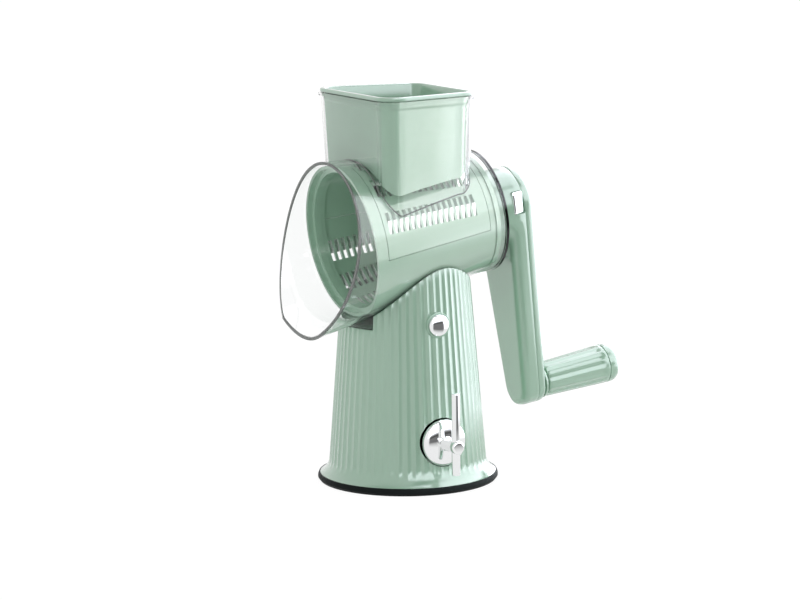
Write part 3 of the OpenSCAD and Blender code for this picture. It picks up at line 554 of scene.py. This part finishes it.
# pusher, and the chute's outline that it follows
pusherShape = {
    "mid": -3.4, "length": 77.2, "front": 52.8, "rear": 42.9,       # front and rear are half widths
    "corner": 12.9, "tightest": 3,
    "rim": 267.0, "foot": 186.0, "draft": 0.92992, "steps": 12,
    "body": 3.4, "inner": 4.9, "floorAt": 214.0, "crown": 223.2, "arch": 66.0, "floor": 2.0,
    "floorShares": (0.0, 0.2, 0.4, 0.6, 0.8, 0.93, 0.975), "floorEdge": (0.35, 1.2),
    "wallTo": 260.0, "wallShares": (0.3, 0.6, 0.9),
    # the rim from outside to inside: inset from the chute's outline, and height
    "collar": ((3.4, 258), (3.4, 261.2), (2.75, 262.4), (2.75, 267.35), (-0.5, 267.35), (-0.3, 270.0),
               (3.6, 270.0), (4.7, 262.0), (4.9, 250)),
    "collarRadii": (0.8, 0.8, 0.3, 0.8, 1.1, 1.3, 3.0), "collarSteps": 5,
    "innerWall": (0.66, 0.33), "innerFrom": 2.5, "innerEdge": 2.0,
    # the floor seen from inside: share of the way out, and lift
    "innerShares": ((0.99, 0.6), (0.96, 0.12), (0.8, 0), (0.6, 0), (0.4, 0), (0.2, 0), (0.0, 0)),
}


def chuteLoop(inset, shape, side=10):
    # a trapezium with round corners, drawn in by inset: straight sides shared into short runs
    half = shape["length"] / 2 - inset
    radius = max(shape["corner"] - inset, shape["tightest"])
    wide = {1: shape["rear"] - inset, -1: shape["front"] - inset}
    loops = []
    for endX, endY, start in ((1, 1, 0), (-1, 1, 90), (-1, -1, 180), (1, -1, 270)):
        turn = np.radians(start + np.linspace(0, 90, shape["steps"] + 1))
        x = shape["mid"] + endX * (half - radius) + radius * np.cos(turn)
        y = endY * (wide[endX] - radius) + radius * np.sin(turn)
        loops.append(np.stack([x, y], axis=-1))
    path = []
    for here, after in zip(loops, loops[1:] + loops[:1]):
        run = np.linspace(0, 1, side + 1)[1:-1, None]
        path += [here, here[-1] * (1 - run) + after[0] * run]
    return np.concatenate(path)


def atHeight(loop, z, shape):
    # the chute narrows evenly downwards about its middle; z is one height, or one for each point
    scale = 1 - (1 - shape["draft"]) * (shape["rim"] - z) / (shape["rim"] - shape["foot"])
    middle = np.array([shape["mid"], 0])
    flat = middle + (loop - middle) * np.reshape(scale, (-1, 1))
    return np.column_stack([flat, np.broadcast_to(z, len(loop))])


def makePusher(shape):
    # rings from the middle of the arched floor out, up the wall, round the rim and back down the inside
    middle = np.array([shape["mid"], 0])
    outer, inner = chuteLoop(shape["body"], shape), chuteLoop(shape["inner"], shape)
    outerFoot, innerFoot = (atHeight(loop, shape["floorAt"], shape)[:, :2] for loop in (outer, inner))

    def floorRing(foot, share, grow, lift=0.0):
        # the floor's height is an arc of a circle across the pusher
        flat = middle + (foot - middle) * share
        arc = np.sqrt((shape["arch"] + grow) ** 2 - flat[:, 1] ** 2)
        return np.column_stack([flat, shape["crown"] - shape["arch"] + arc + lift])

    rings = [floorRing(outerFoot, share, 0) for share in shape["floorShares"]]
    edge = floorRing(outerFoot, 1.0, 0)[:, 2]
    rings += [atHeight(outer, edge + rise, shape) for rise in shape["floorEdge"]]
    start = edge + shape["floorEdge"][-1]
    rise = shape["wallTo"] - start
    rings += [atHeight(outer, start + rise * share, shape) for share in shape["wallShares"]]
    collar = rounded(shape["collar"], shape["collarRadii"], shape["collarSteps"])
    rings += [atHeight(chuteLoop(inset, shape), z, shape) for inset, z in collar]
    top = floorRing(innerFoot, 1.0, shape["floor"])[:, 2]
    start, stop = top + shape["innerFrom"], shape["collar"][-1][1]
    rings += [atHeight(inner, start + (stop - start) * share, shape) for share in shape["innerWall"]]
    rings.append(atHeight(inner, top + shape["innerEdge"], shape))
    rings += [floorRing(innerFoot, share, shape["floor"], lift) for share, lift in shape["innerShares"]]
    gridPiece("pusherCup", np.stack(rings, axis=1), "body_plastic", "pusher", ["pusher"], crease=60)


makePusher(pusherShape)


# painted shade: grey tubes along the edges of the clear housing, which read as grey lines because little
# light comes out of them
edgeShape = {
    "radius": 55.7, "taper": 0.1268, "front": -49.5, "wall": 2.2, "halfHeight": 57.3,
    "mouth": (-65.8, 18.4, -5.4), "mouthStop": -86.3,       # the cut is a curve of the height, and stops here
    "mouthWidth": 1.0, "mouthDepth": 0.4, "mouthNear": 0.5, "nearTurn": 215, "mouthInset": 0.05,
    "mouthSteps": 240, "rounds": 12,
    "footWidth": 0.4, "footSide": 24, "footTo": 236.0, "footLift": 30.0,
}


def tubeAlong(path, outward, wide, deep, steps=10):
    # an ellipse carried round a closed path: wide along outward, and deep square to it and to the path
    ahead = np.roll(path, -1, axis=0) - np.roll(path, 1, axis=0)
    ahead /= np.linalg.norm(ahead, axis=1, keepdims=True)
    outward = outward - (outward * ahead).sum(axis=1, keepdims=True) * ahead
    outward /= np.linalg.norm(outward, axis=1, keepdims=True)
    across = np.cross(ahead, outward)
    turn = np.linspace(0, 2 * math.pi, steps, endpoint=False)[None, :, None]
    return path[:, None] + wide * np.cos(turn) * outward[:, None] + deep * np.sin(turn) * across[:, None]


def makeEdges(shape):
    # painted shade: one grey tube runs along the cut mouth, deeper on its near side, and one where the chute
    # meets the barrel
    def skin(s):
        return shape["radius"] - shape["taper"] * (s - shape["front"])

    turn = np.linspace(0, 2 * math.pi, shape["mouthSteps"], endpoint=False)
    s = np.full_like(turn, shape["front"])
    first, second, third = shape["mouth"]
    for _ in range(shape["rounds"]):
        u = skin(s) * np.sin(turn) / shape["halfHeight"]
        s = np.maximum(first + second * u + third * u ** 2, shape["mouthStop"])
    middle = skin(s) - shape["wall"] / 2
    near = np.clip(np.cos(turn - math.radians(shape["nearTurn"])), 0, 1)
    deep = shape["mouthDepth"] + shape["mouthNear"] * near
    path = onAxis(s + deep + shape["mouthInset"], middle * np.cos(turn), middle * np.sin(turn))
    grid = tubeAlong(path, path - onAxis(s, 0, 0), shape["mouthWidth"], deep[:, None, None])
    gridPiece("mouthEdge", grid, "edge", "stand", closed=True)
    loop = chuteLoop(0.0, pusherShape, shape["footSide"])

    def inBarrel(z):
        flat = atHeight(loop, z, pusherShape)
        along, h = fromAxis(flat[:, 0], z)
        return np.hypot(flat[:, 1], h) < skin(along)

    low, high = (np.full(len(loop), z) for z in (pusherShape["foot"], shape["footTo"]))
    path = atHeight(loop, halved(low, high, inBarrel), pusherShape)
    outward = path - [pusherShape["mid"], 0, 0]
    outward[:, 2] = shape["footLift"]
    grid = tubeAlong(path, outward, shape["footWidth"], shape["footWidth"])
    gridPiece("chuteFootEdge", grid, "edge", "stand", closed=True)


makeEdges(edgeShape)


# suction lever and release button
leverShape = {
    "dial": 16.0, "dialFoot": 15.6, "bore": 4.2, "back": 48.95, "rim": 53.95, "rimDrop": 0.6, "top": 57.95,
    "rimRadii": (0.4, 0.5), "domeFrom": 8, "domeSteps": 14, "inside": 1,
    # the peg's radius and distance from the middle
    "hub": ((0, 56.5), (5.3, 56.5), (4.7, 59.0), (4.6, 73.6), (3.6, 74.6), (0, 74.6)),
    "hubRadii": (0.4, 1.2, 0.5, 0.5),
    "bar": 3.0, "barRound": 0.5, "reach": 70.0, "up": 36.5, "down": 19.5,
    "dialSteps": 128, "hubSteps": 64, "barSteps": 48,
}


def makeLever(shape):
    # the dial is a quarter of an ellipse on a short rim; peg and bar are turned profiles
    front = towardsFront(frontHeights["dial"])
    dome = np.radians(np.linspace(shape["domeFrom"], 90, shape["domeSteps"]))
    rise = shape["top"] - shape["rim"]
    cap = np.stack([shape["dial"] * np.cos(dome), shape["rim"] + rise * np.sin(dome)], axis=-1)
    foot, wall = (shape["bore"], shape["back"]), (shape["dial"], shape["rim"] - shape["rimDrop"])
    rim = rounded([foot, (shape["dialFoot"], shape["back"]), wall, cap[0]], shape["rimRadii"])
    dial = np.concatenate([rim, cap[1:], [(0, shape["back"] + shape["inside"]), foot]])
    gridPiece("dialDome", turnedGrid(dial, front, shape["dialSteps"]), "chrome", "lever", ["lever_dial"])
    hub = rounded(shape["hub"], shape["hubRadii"])
    gridPiece("leverPeg", turnedGrid(hub, front, shape["hubSteps"]), "chrome", "lever", ["lever_hub"])
    low, high = frontHeights["dial"] - shape["down"], frontHeights["dial"] + shape["up"]
    bar = rounded([(0, low), (shape["bar"], low), (shape["bar"], high), (0, high)], (shape["barRound"],) * 2)
    grid = turnedGrid(bar, upright, shape["barSteps"]) - [0, shape["reach"], 0]
    gridPiece("leverBar", grid, "chrome", "lever", ["lever_bar"])


makeLever(leverShape)

buttonShape = {
    "back": 44.08, "front": 47.78, "radius": 7.5, "dome": 2.6, "domeSteps": 12, "round": 0.3,
    "ring": {"inner": 7.56, "outer": 8.85, "back": 40.7, "front": 47.2, "radii": (0.2, 0.6, 0.35)},
}


def makeButton(shape):
    # a quarter of an ellipse on a short wall, in a flat ring
    front = towardsFront(frontHeights["button"])
    dome = np.radians(np.linspace(0, 90, shape["domeSteps"]))
    cap = np.stack([shape["radius"] * np.cos(dome), shape["front"] + shape["dome"] * np.sin(dome)], axis=-1)
    wall = rounded([(0, shape["back"]), (shape["radius"], shape["back"]), cap[0]], (shape["round"],))
    profile = np.concatenate([wall, cap])
    gridPiece("buttonDome", turnedGrid(profile, front), "chrome", "release_button", ["release_button"])
    ring = ringProfile(**shape["ring"])
    gridPiece("buttonRing", turnedGrid(ring, front), "body_plastic", "stand", ["button_bezel"])


makeButton(buttonShape)


# crank
crankShape = {
    "head": 26.0, "foot": 14.0, "throw": 130.5, "headFront": 60.4, "armFront": 69.2, "back": 88.0,
    "arcSteps": 40, "sideSteps": 70, "bunch": 1.6,
    "headRound": 2.6, "armRound": 5.5, "farRound": 1.2, "farWidth": 12, "backRound": 4.5, "backSteps": 10,
    "shoulder": 5.0, "shoulderInset": 0.6, "shoulderBend": 2.2, "shoulderBelow": 0.35,
    "frontInsets": (26.0, 22.0, 18.0, 14.5, 11.5, 9.0, 7.2, 5.6, 4.2, 3.0, 2.0, 1.2, 0.6, 0.25, 0.06, 0.0),
    "wallShares": (0.3, 0.7, 1.0), "wallStop": 80.65,
    # inset and distance along the axis: the back of the front part, and the cover's face against it
    "frontBack": ((0.12, 80.85), (0.5, 80.9), (2.2, 80.9), (8.0, 80.9), (14.0, 80.9), (26.0, 80.9)),
    "coverFace": ((26.0, 81.0), (14.0, 81.0), (6.0, 81.0), (0.5, 81.0), (0.12, 81.1), (0.0, 81.4),
                  (0.0, 82.4)),
    "coverInsets": (8.0, 14.0, 20.0, 26.0),
    "screws": (-34.0, -72.0, -108.0), "hole": 2.9, "holeFrom": 85.8, "holeTo": 90, "holeSteps": 40,
}
latchShape = {
    "s": 76.35, "h": 4.0, "wide": 8.7, "tall": 15.4, "corner": 1.6, "points": 48,
    "outer": 26.4, "inner": 20.6, "lean": 1.5,
    "bevel": ((0.648, 0.0), (0.912, 0.176), (1.0, 0.66)),       # share of the way to the side, and drop
    "room": 0.5, "pocketOuter": 27.5, "pocketInner": 18.2,
}


def latchBlock(name, shape, outer, inner, room=0.0, bevel=((1.0, 0.0),), lean=0.0):
    # a block with rounded corners through the head's side, from its face, which may lean, to its inner end
    turn = np.linspace(0, 2 * math.pi, shape["points"], endpoint=False)
    wide, tall, corner = shape["wide"] + room, shape["tall"] + room, shape["corner"]
    across = np.sign(np.cos(turn)) * (wide / 2 - corner) + corner * np.cos(turn)
    up = np.sign(np.sin(turn)) * (tall / 2 - corner) + corner * np.sin(turn)
    face = ((0.0, 0.0), *bevel)
    rings = [(share, drop - outer + lean * (across * share / wide + 0.5)) for share, drop in face]
    rings += [(1.0, -inner), (0.0, -inner)]
    grid = [onAxis(shape["s"] + across * share, y, shape["h"] + up * share) for share, y in rings]
    return gridShell(name, np.stack(grid, axis=1), crease=50)


def crankLoop(shape):
    # two round ends joined by straight sides, and the spine point that each outline point looks at
    lean = math.asin((shape["head"] - shape["foot"]) / shape["throw"])
    top = np.linspace(-lean, math.pi + lean, shape["arcSteps"] * 2)
    low = np.linspace(math.pi + lean, 2 * math.pi - lean, shape["arcSteps"])
    run = np.linspace(0, 1, shape["sideSteps"])[1:-1]
    run = np.where(run < 0.5, (2 * run) ** shape["bunch"] / 2, run)         # closer together near the head
    head = np.stack([shape["head"] * np.cos(top), shape["head"] * np.sin(top)], axis=-1)
    foot = np.stack([shape["foot"] * np.cos(low), shape["foot"] * np.sin(low) - shape["throw"]], axis=-1)

    def side(start, stop, share):
        return start + (stop - start) * share[:, None]

    back = 1 - run[::-1]
    outline = np.concatenate([head, side(head[-1], foot[0], run), foot, side(foot[-1], head[0], back)])
    spineHead = np.zeros_like(head)
    spineFoot = np.zeros_like(foot) + [0, -shape["throw"]]
    spine = np.concatenate([spineHead, side(spineHead[-1], spineFoot[0], run), spineFoot,
                            side(spineFoot[-1], spineHead[0], back)])
    return outline, spine


def makeCrank(shape, latch):
    # rings between the spine and the outline: the front steps from head to arm by a smooth curve of the
    # distance from the axis, and its edge and the cover's are quarters of circles
    outline, spine = crankLoop(shape)
    reach = np.linalg.norm(outline - spine, axis=1)[:, None]

    def ringAt(inset):
        return spine + (outline - spine) * np.clip(1 - inset / reach, 0, 1)

    def frontAt(inset):
        flat = ringAt(inset)
        away = np.linalg.norm(flat, axis=1)
        share = np.clip((away - shape["head"] + shape["shoulderInset"]) / shape["shoulder"], 0, 1)
        share = np.where(flat[:, 1] > -shape["head"] * shape["shoulderBelow"], 0, share)
        step = (shape["armFront"] - shape["headFront"]) * (1 - (1 - share) ** shape["shoulderBend"])
        far = eased(0.5 + flat[:, 0] / shape["farWidth"])
        arm = shape["armRound"] + (shape["farRound"] - shape["armRound"]) * far
        radius = shape["headRound"] + (arm - shape["headRound"]) * share
        bend = np.clip(1 - inset / radius, 0, 1)
        return shape["headFront"] + step + radius * (1 - np.sqrt(1 - bend ** 2))

    def gridOf(rings):
        flats = [(ringAt(inset), s) for inset, s in rings]
        return np.stack([onAxis(s, flat[:, 0], flat[:, 1]) for flat, s in flats], axis=1)

    rings = [(inset, frontAt(inset)) for inset in shape["frontInsets"]]
    edge = frontAt(0.0)
    rings += [(0.0, edge + (shape["wallStop"] - edge) * share) for share in shape["wallShares"]]
    front = gridShell("crankFront", gridOf([*rings, *shape["frontBack"]]), crease=45)
    cutAway(front, latchBlock("cutter", latch, latch["pocketOuter"], latch["pocketInner"], latch["room"]))
    dress(front, "body_plastic", "rotor", ["crank_arm"])

    turns = np.radians(np.linspace(0, 90, shape["backSteps"]))
    insets = shape["backRound"] * (1 - np.cos(turns))
    stations = shape["back"] - shape["backRound"] * (1 - np.sin(turns))
    rings = [*shape["coverFace"], *zip(insets, stations)]
    rings += [(inset, shape["back"]) for inset in shape["coverInsets"]]
    back = gridShell("crankBack", gridOf(rings), crease=45)
    hole = (shape["hole"], shape["holeFrom"], shape["holeTo"])
    for screw in shape["screws"]:
        drill(back, *hole, lambda s, y, h: onAxis(s, y, h + screw), shape["holeSteps"])
    dress(back, "body_plastic", "rotor", ["crank_cover"])

    face = {"bevel": latch["bevel"], "lean": latch["lean"]}
    button = latchBlock("latchButton", latch, latch["outer"], latch["inner"], **face)
    dress(button, "chrome", "crank_latch", ["crank_latch"])


makeCrank(crankShape, latchShape)


# grip
gripShape = {
    "start": 91.3, "stop": 140.8, "low": 12.2, "high": 13.8, "startBore": 3.6, "stopBore": 4.0,
    "flutes": 14, "depth": 0.75, "bend": 1.3, "steps": 14, "fadeFrom": 0.955, "fadeOver": 0.07,
    "shares": (0, 0.004, 0.015, 0.03, 0.06, 0.1, 0.2, 0.35, 0.5, 0.65, 0.8, 0.86, 0.9, 0.93, 0.96, 0.985,
               0.996, 1.0),
    "startInsets": (0.7, 0.35, 0.1), "stopInsets": (0.06, 0.2, 0.5),
    "cap": 141.0, "capRim": 2.9, "capRadii": (0.35,), "capSteps": 112,
    "domeFrom": 3.0, "domeTop": 11.4, "domeBend": 0.92, "domeSteps": 16,
    "collar": ((0, 88.0), (12.6, 88.0), (12.4, 89.6), (10.4, 91.0), (0, 91.0)),
    "collarRadii": (0.4, 0.8, 0.4),
}


def onGrip(s, y, h):
    return onAxis(s, y, h - crankShape["throw"])


def makeGrip(shape):
    # radius = a slow cone less a scallop, which is the size of a sine to a power and dies out before the cap
    turn = np.linspace(0, 2 * math.pi, shape["flutes"] * shape["steps"], endpoint=False)[:, None]
    share = np.array(shape["shares"])
    along = shape["start"] + (shape["stop"] - shape["start"]) * share
    cone = shape["low"] + (shape["high"] - shape["low"]) * share
    fade = eased((shape["fadeFrom"] - share) / shape["fadeOver"])
    scallop = np.abs(np.sin(turn * shape["flutes"] / 2)) ** shape["bend"] * shape["depth"] * fade
    inset = np.zeros_like(share)
    inset[: len(shape["startInsets"])] = shape["startInsets"]
    inset[-len(shape["stopInsets"]):] = shape["stopInsets"]

    def ring(s, radius):
        return onGrip(s + 0 * turn, radius * np.cos(turn), radius * np.sin(turn))

    grid = np.concatenate([ring(shape["start"], shape["startBore"]), ring(along, cone - scallop - inset),
                           ring(shape["stop"], shape["stopBore"])], axis=1)
    gridPiece("gripSleeve", grid, "body_plastic", "grip", ["grip_sleeve"], closed=True, crease=55)
    dome = np.radians(np.linspace(0, 90, shape["domeSteps"]))
    rise = shape["domeFrom"] + (shape["domeTop"] - shape["domeFrom"]) * np.sin(dome)
    cap = np.stack([shape["high"] * np.cos(dome) ** shape["domeBend"], shape["cap"] + rise], axis=-1)
    wall = [(0, shape["cap"]), (shape["high"], shape["cap"]), (shape["high"], shape["cap"] + shape["capRim"])]
    profile = np.concatenate([rounded(wall, shape["capRadii"]), cap])
    grid = turnedGrid(profile, onGrip, shape["capSteps"])
    gridPiece("gripCap", grid, "body_plastic", "grip", ["grip_cap"])
    collar = rounded(shape["collar"], shape["collarRadii"])
    gridPiece("gripCollar", turnedGrid(collar, onGrip), "body_plastic", "rotor", ["grip_collar"])


makeGrip(gripShape)


# nodes that keep the model's own shape
print("smoothing the other nodes")
keptNodes = ("housing", "drum_frame", "shred_combs_front", "shred_combs_back", "suction_pad", "shaft_bush",
             "drive_shaft", "cover_screws")
# the joint of each spring, the middle of its fixed end in m, and its length and travel in mm
springShapes = {
    "button_spring": {"joint": "button_press", "anchor": (0, -0.0356, 0.1138), "length": 8.47, "travel": 3.2},
    "crank_latch_spring": {"joint": "crank_latch_press", "anchor": (0.0751, -0.013, 0.1896), "length": 7.57,
                           "travel": 2.0},
}
panelTurns = {"blade_panel_front": (-9.5, 112.5), "blade_panel_back": (170.5, 292.5)}       # degrees
seamShape = {"gap": 0.34, "near": 0.4}      # a point this near to an edge, in mm or degrees, lies on it


def twin(node):
    piece = bpy.data.objects.new(node + "_smooth", nodes[node].data.copy())
    bpy.context.collection.objects.link(piece)
    return piece


def polished(piece, node):
    # the model's own solid, merged and shaded smooth
    cleanMesh(piece.data, crease=32, merge=4e-6)
    return dress(piece, nodeSlots[node], nodes[node]["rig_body"], [node])


def seamed(piece, turnFrom, turnTo, gap, near):
    # draws a panel in by the gap at its four edges: its outline points move along the drum and round it
    mesh = piece.data
    spots = np.empty(len(mesh.vertices) * 3)
    mesh.vertices.foreach_get("co", spots)
    x, y, z = spots.reshape(-1, 3).T / mm
    s, h = fromAxis(x, z)
    radius = np.hypot(y, h)
    turn = (np.degrees(np.arctan2(h, -y)) - turnFrom + 90) % 360 - 90
    step = np.degrees(gap / radius)
    turn = np.where(np.abs(turn) < near, turn + step, turn)
    turn = np.where(np.abs(turn - (turnTo - turnFrom)) < near, turn - step, turn)
    front, rear = s.min(), s.max()
    s = np.where(s - front < near, s + gap, s)
    s = np.where(rear - s < near, s - gap, s)
    angle = np.radians(turn + turnFrom)
    spots = onAxis(s, -radius * np.cos(angle), radius * np.sin(angle)) * mm
    mesh.vertices.foreach_set("co", spots.astype(np.float32).ravel())
    return piece


for name in keptNodes:
    polished(twin(name), name)
for name, spring in springShapes.items():
    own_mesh(polished(twin(name), name))
for name, turns in panelTurns.items():
    polished(seamed(twin(name), *turns, **seamShape), name)


# room
print("lighting the room")
roomLook = {
    "size": 6.0, "paint": (0.9, 0.9, 0.9), "paintRough": 0.7, "ambient": 0.64, "white": 1.07, "share": 0.88,
    "dark": 0.1, "darkFrom": -12.0, "darkTo": 39.0,        # degrees round from the front, towards the crank
    "bright": (3.9, 4.0, 4.3), "brightFrom": 42.0, "brightTo": 150.0, "blur": 0.05,
    "highFrom": -25.0, "low": 0.05, "high": 0.22,          # above this height the softbox reaches further
    "near": 0.3, "far": 0.55,                              # metres: the floor close by stays white in gloss
    "darkNear": 0.17, "darkFar": 0.32,
    "overFrom": 0.74, "overTo": 0.88,                      # above this the softbox ends
    "behind": 152.5, "aside": 0.34, "wideFrom": 0.6, "wideTo": 0.85,
    "front": 40.0, "frontFrom": 0.7, "frontTo": 0.9,       # white too, for the views from the other side
    "through": (2.6, 3.3), "throughFrom": 24.0, "throughTo": 78.0, "soft": 1.15,      # behind clear plastic
}
lampLooks = {
    "keyLamp": {"azimuth": 62, "distance": 1.3, "low": 0.0, "high": 0.6, "width": 0.6, "radiance": 3.0},
    "fillLamp": {"azimuth": -95, "distance": 1.5, "low": 0.1, "high": 1.3, "width": 1.4, "radiance": 0.3},
}


class Room(Tree):
    # what the floor and the world show in each direction, which place gives, to each kind of ray
    def __init__(self, tree, place, look):
        super().__init__(tree)
        self.look = look
        self.path = self.add("ShaderNodeLightPath").outputs
        self.place = self.add("ShaderNodeTexCoord").outputs[place]
        axes = self.add("ShaderNodeSeparateXYZ")
        self.feed(axes.inputs[0], self.place)
        self.angle = self.calc("ARCTAN2", axes.outputs["X"], self.calc("MULTIPLY", axes.outputs["Y"], -1.0))
        # 1 in the directions over which the softbox reaches further round
        self.high = self.calc("MULTIPLY", self.ramp(axes.outputs["Z"], look["low"], look["high"], 0.0, 1.0),
                              self.ramp(axes.outputs["Z"], look["overFrom"], look["overTo"], 1.0, 0.0))

    def sector(self, start, stop):
        # 1 between two directions round the object and 0 elsewhere
        middle, half = math.radians((start + stop) / 2), math.radians((stop - start) / 2)
        away = self.calc("ABSOLUTE", self.calc("SUBTRACT", self.angle, middle))
        return self.ramp(away, half - self.look["blur"], half + self.look["blur"], 1.0, 0.0)

    def box(self, start, stop):
        # 1 where the softbox shows: between two directions, and from further round where high is 1
        over = self.calc("MULTIPLY", self.sector(self.look["highFrom"], stop), self.high)
        return self.calc("MAXIMUM", self.sector(start, stop), over)

    def shine(self, reach, darkReach):
        # what glossy rays meet: white, with a dark gap, and the softbox beside and above it; a reach is 0
        # close by
        look = self.look
        gap = self.calc("MULTIPLY", self.sector(look["darkFrom"], look["darkTo"]),
                        self.calc("SUBTRACT", 1.0, self.high))
        grey = self.ramp(self.calc("MULTIPLY", gap, darkReach), 0, 1, 1.0, look["dark"])
        bright = self.calc("MULTIPLY", self.box(look["brightFrom"], look["brightTo"]), reach)
        colours = self.add("ShaderNodeCombineColor")
        for slot, level in zip(colours.inputs, look["bright"]):
            self.feed(slot, self.calc("MULTIPLY", grey, self.ramp(bright, 0, 1, 1.0, level)))
        return colours.outputs[0]

    def clear(self, reach):
        # what shows through clear plastic: white behind the object and dimmer aside, which darkens its edges;
        # a ray that met a glossy or dull surface on its way finds the softbox or the soft light
        look = self.look
        unit = self.vector("NORMALIZE", self.vector("MULTIPLY", self.place, (1, 1, 0))[0])[0]
        lobes = []
        for turn, low, top in (("behind", "wideFrom", "wideTo"), ("front", "frontFrom", "frontTo")):
            angle = math.radians(look[turn])
            along = self.vector("DOT_PRODUCT", unit, (math.sin(angle), -math.cos(angle), 0))["Value"]
            lobes.append(self.ramp(along, look[low], look[top], look["aside"], look["white"]))
        glossy = self.calc("MULTIPLY", self.calc("MINIMUM", self.path["Glossy Depth"], 1.0), reach)
        box = self.calc("MULTIPLY", self.box(look["throughFrom"], look["throughTo"]), glossy)
        level = self.calc("MULTIPLY", box, self.ramp(self.high, 0, 1, *look["through"]))
        seen = self.calc("MAXIMUM", self.calc("MAXIMUM", *lobes), level)
        dull = self.calc("MINIMUM", self.path["Diffuse Depth"], 1.0)
        return self.calc("ADD", self.calc("MULTIPLY", seen, self.calc("SUBTRACT", 1.0, dull)),
                         self.calc("MULTIPLY", dull, look["soft"]))

    def colour(self, plain, reach=1.0, darkReach=1.0):
        # a ray through clear plastic counts as glossy too, so that choice comes last
        gloss = self.blend(self.path["Is Glossy Ray"], plain, self.shine(reach, darkReach))
        return self.blend(self.path["Is Transmission Ray"], gloss, self.clear(reach))

    def seen(self):
        # 1 for the camera, through clear plastic and in gloss, and 0 for dull light
        return self.calc("MAXIMUM", self.path["Is Camera Ray"],
                         self.calc("MAXIMUM", self.path["Is Transmission Ray"], self.path["Is Glossy Ray"]))


def paleFloor(look):
    # a pale floor that keeps the shadow, lifted towards white for the camera, clear plastic and gloss
    size = look["size"]
    mesh = bpy.data.meshes.new("floor")
    corners = [(-size, -size, 0), (size, -size, 0), (size, size, 0), (-size, size, 0)]
    mesh.from_pydata(corners, [], [(0, 1, 2, 3)])
    floor = bpy.data.objects.new("floor", mesh)
    mix = Mixer("floorPaint")
    mix.set(Base_Color=(*look["paint"], 1), Roughness=look["paintRough"])
    room = Room(mix.tree, "Object", look)
    away = room.vector("LENGTH", room.place)["Value"]
    reach = room.ramp(away, look["near"], look["far"], 0.0, 1.0)
    darkReach = room.ramp(away, look["darkNear"], look["darkFar"], 0.0, 1.0)
    glow = mix.add("ShaderNodeEmission")
    mix.feed(glow.inputs["Color"], room.colour((look["white"],) * 3, reach, darkReach))
    mix.join(room.calc("MULTIPLY", room.seen(), look["share"]), glow)
    mesh.materials.append(mix.material)
    bpy.context.collection.objects.link(floor)


def softLamp(name, azimuth, distance, low, high, width, radiance):
    # an upright softbox that faces the object: watts = radiance * pi * area
    angle = math.radians(azimuth)
    data = bpy.data.lights.new(name, "AREA")
    data.shape = "RECTANGLE"
    data.size, data.size_y = width, high - low
    data.energy = radiance * math.pi * width * (high - low)
    lamp = bpy.data.objects.new(name, data)
    lamp.location = (distance * math.sin(angle), -distance * math.cos(angle), (low + high) / 2)
    lamp.rotation_euler = (math.pi / 2, 0, angle)
    lamp.visible_glossy = False         # the world and the floor hold what shows in gloss and metal
    bpy.context.collection.objects.link(lamp)


def studioWorld(look):
    # white for the camera, through clear plastic and in metal, but for the dark gap; dimmer as ambient light
    world = bpy.data.worlds.new("world")
    world.use_nodes = True
    room = Room(world.node_tree, "Generated", look)
    back = world.node_tree.nodes["Background"]
    room.feed(back.inputs["Strength"], room.ramp(room.seen(), 0, 1, look["ambient"], 1.0))
    room.feed(back.inputs["Color"], room.colour((1, 1, 1)))
    bpy.context.scene.world = world


paleFloor(roomLook)
studioWorld(roomLook)
for name, look in lampLooks.items():
    softLamp(name, **look)
bpy.context.scene.view_settings.view_transform = "Standard"
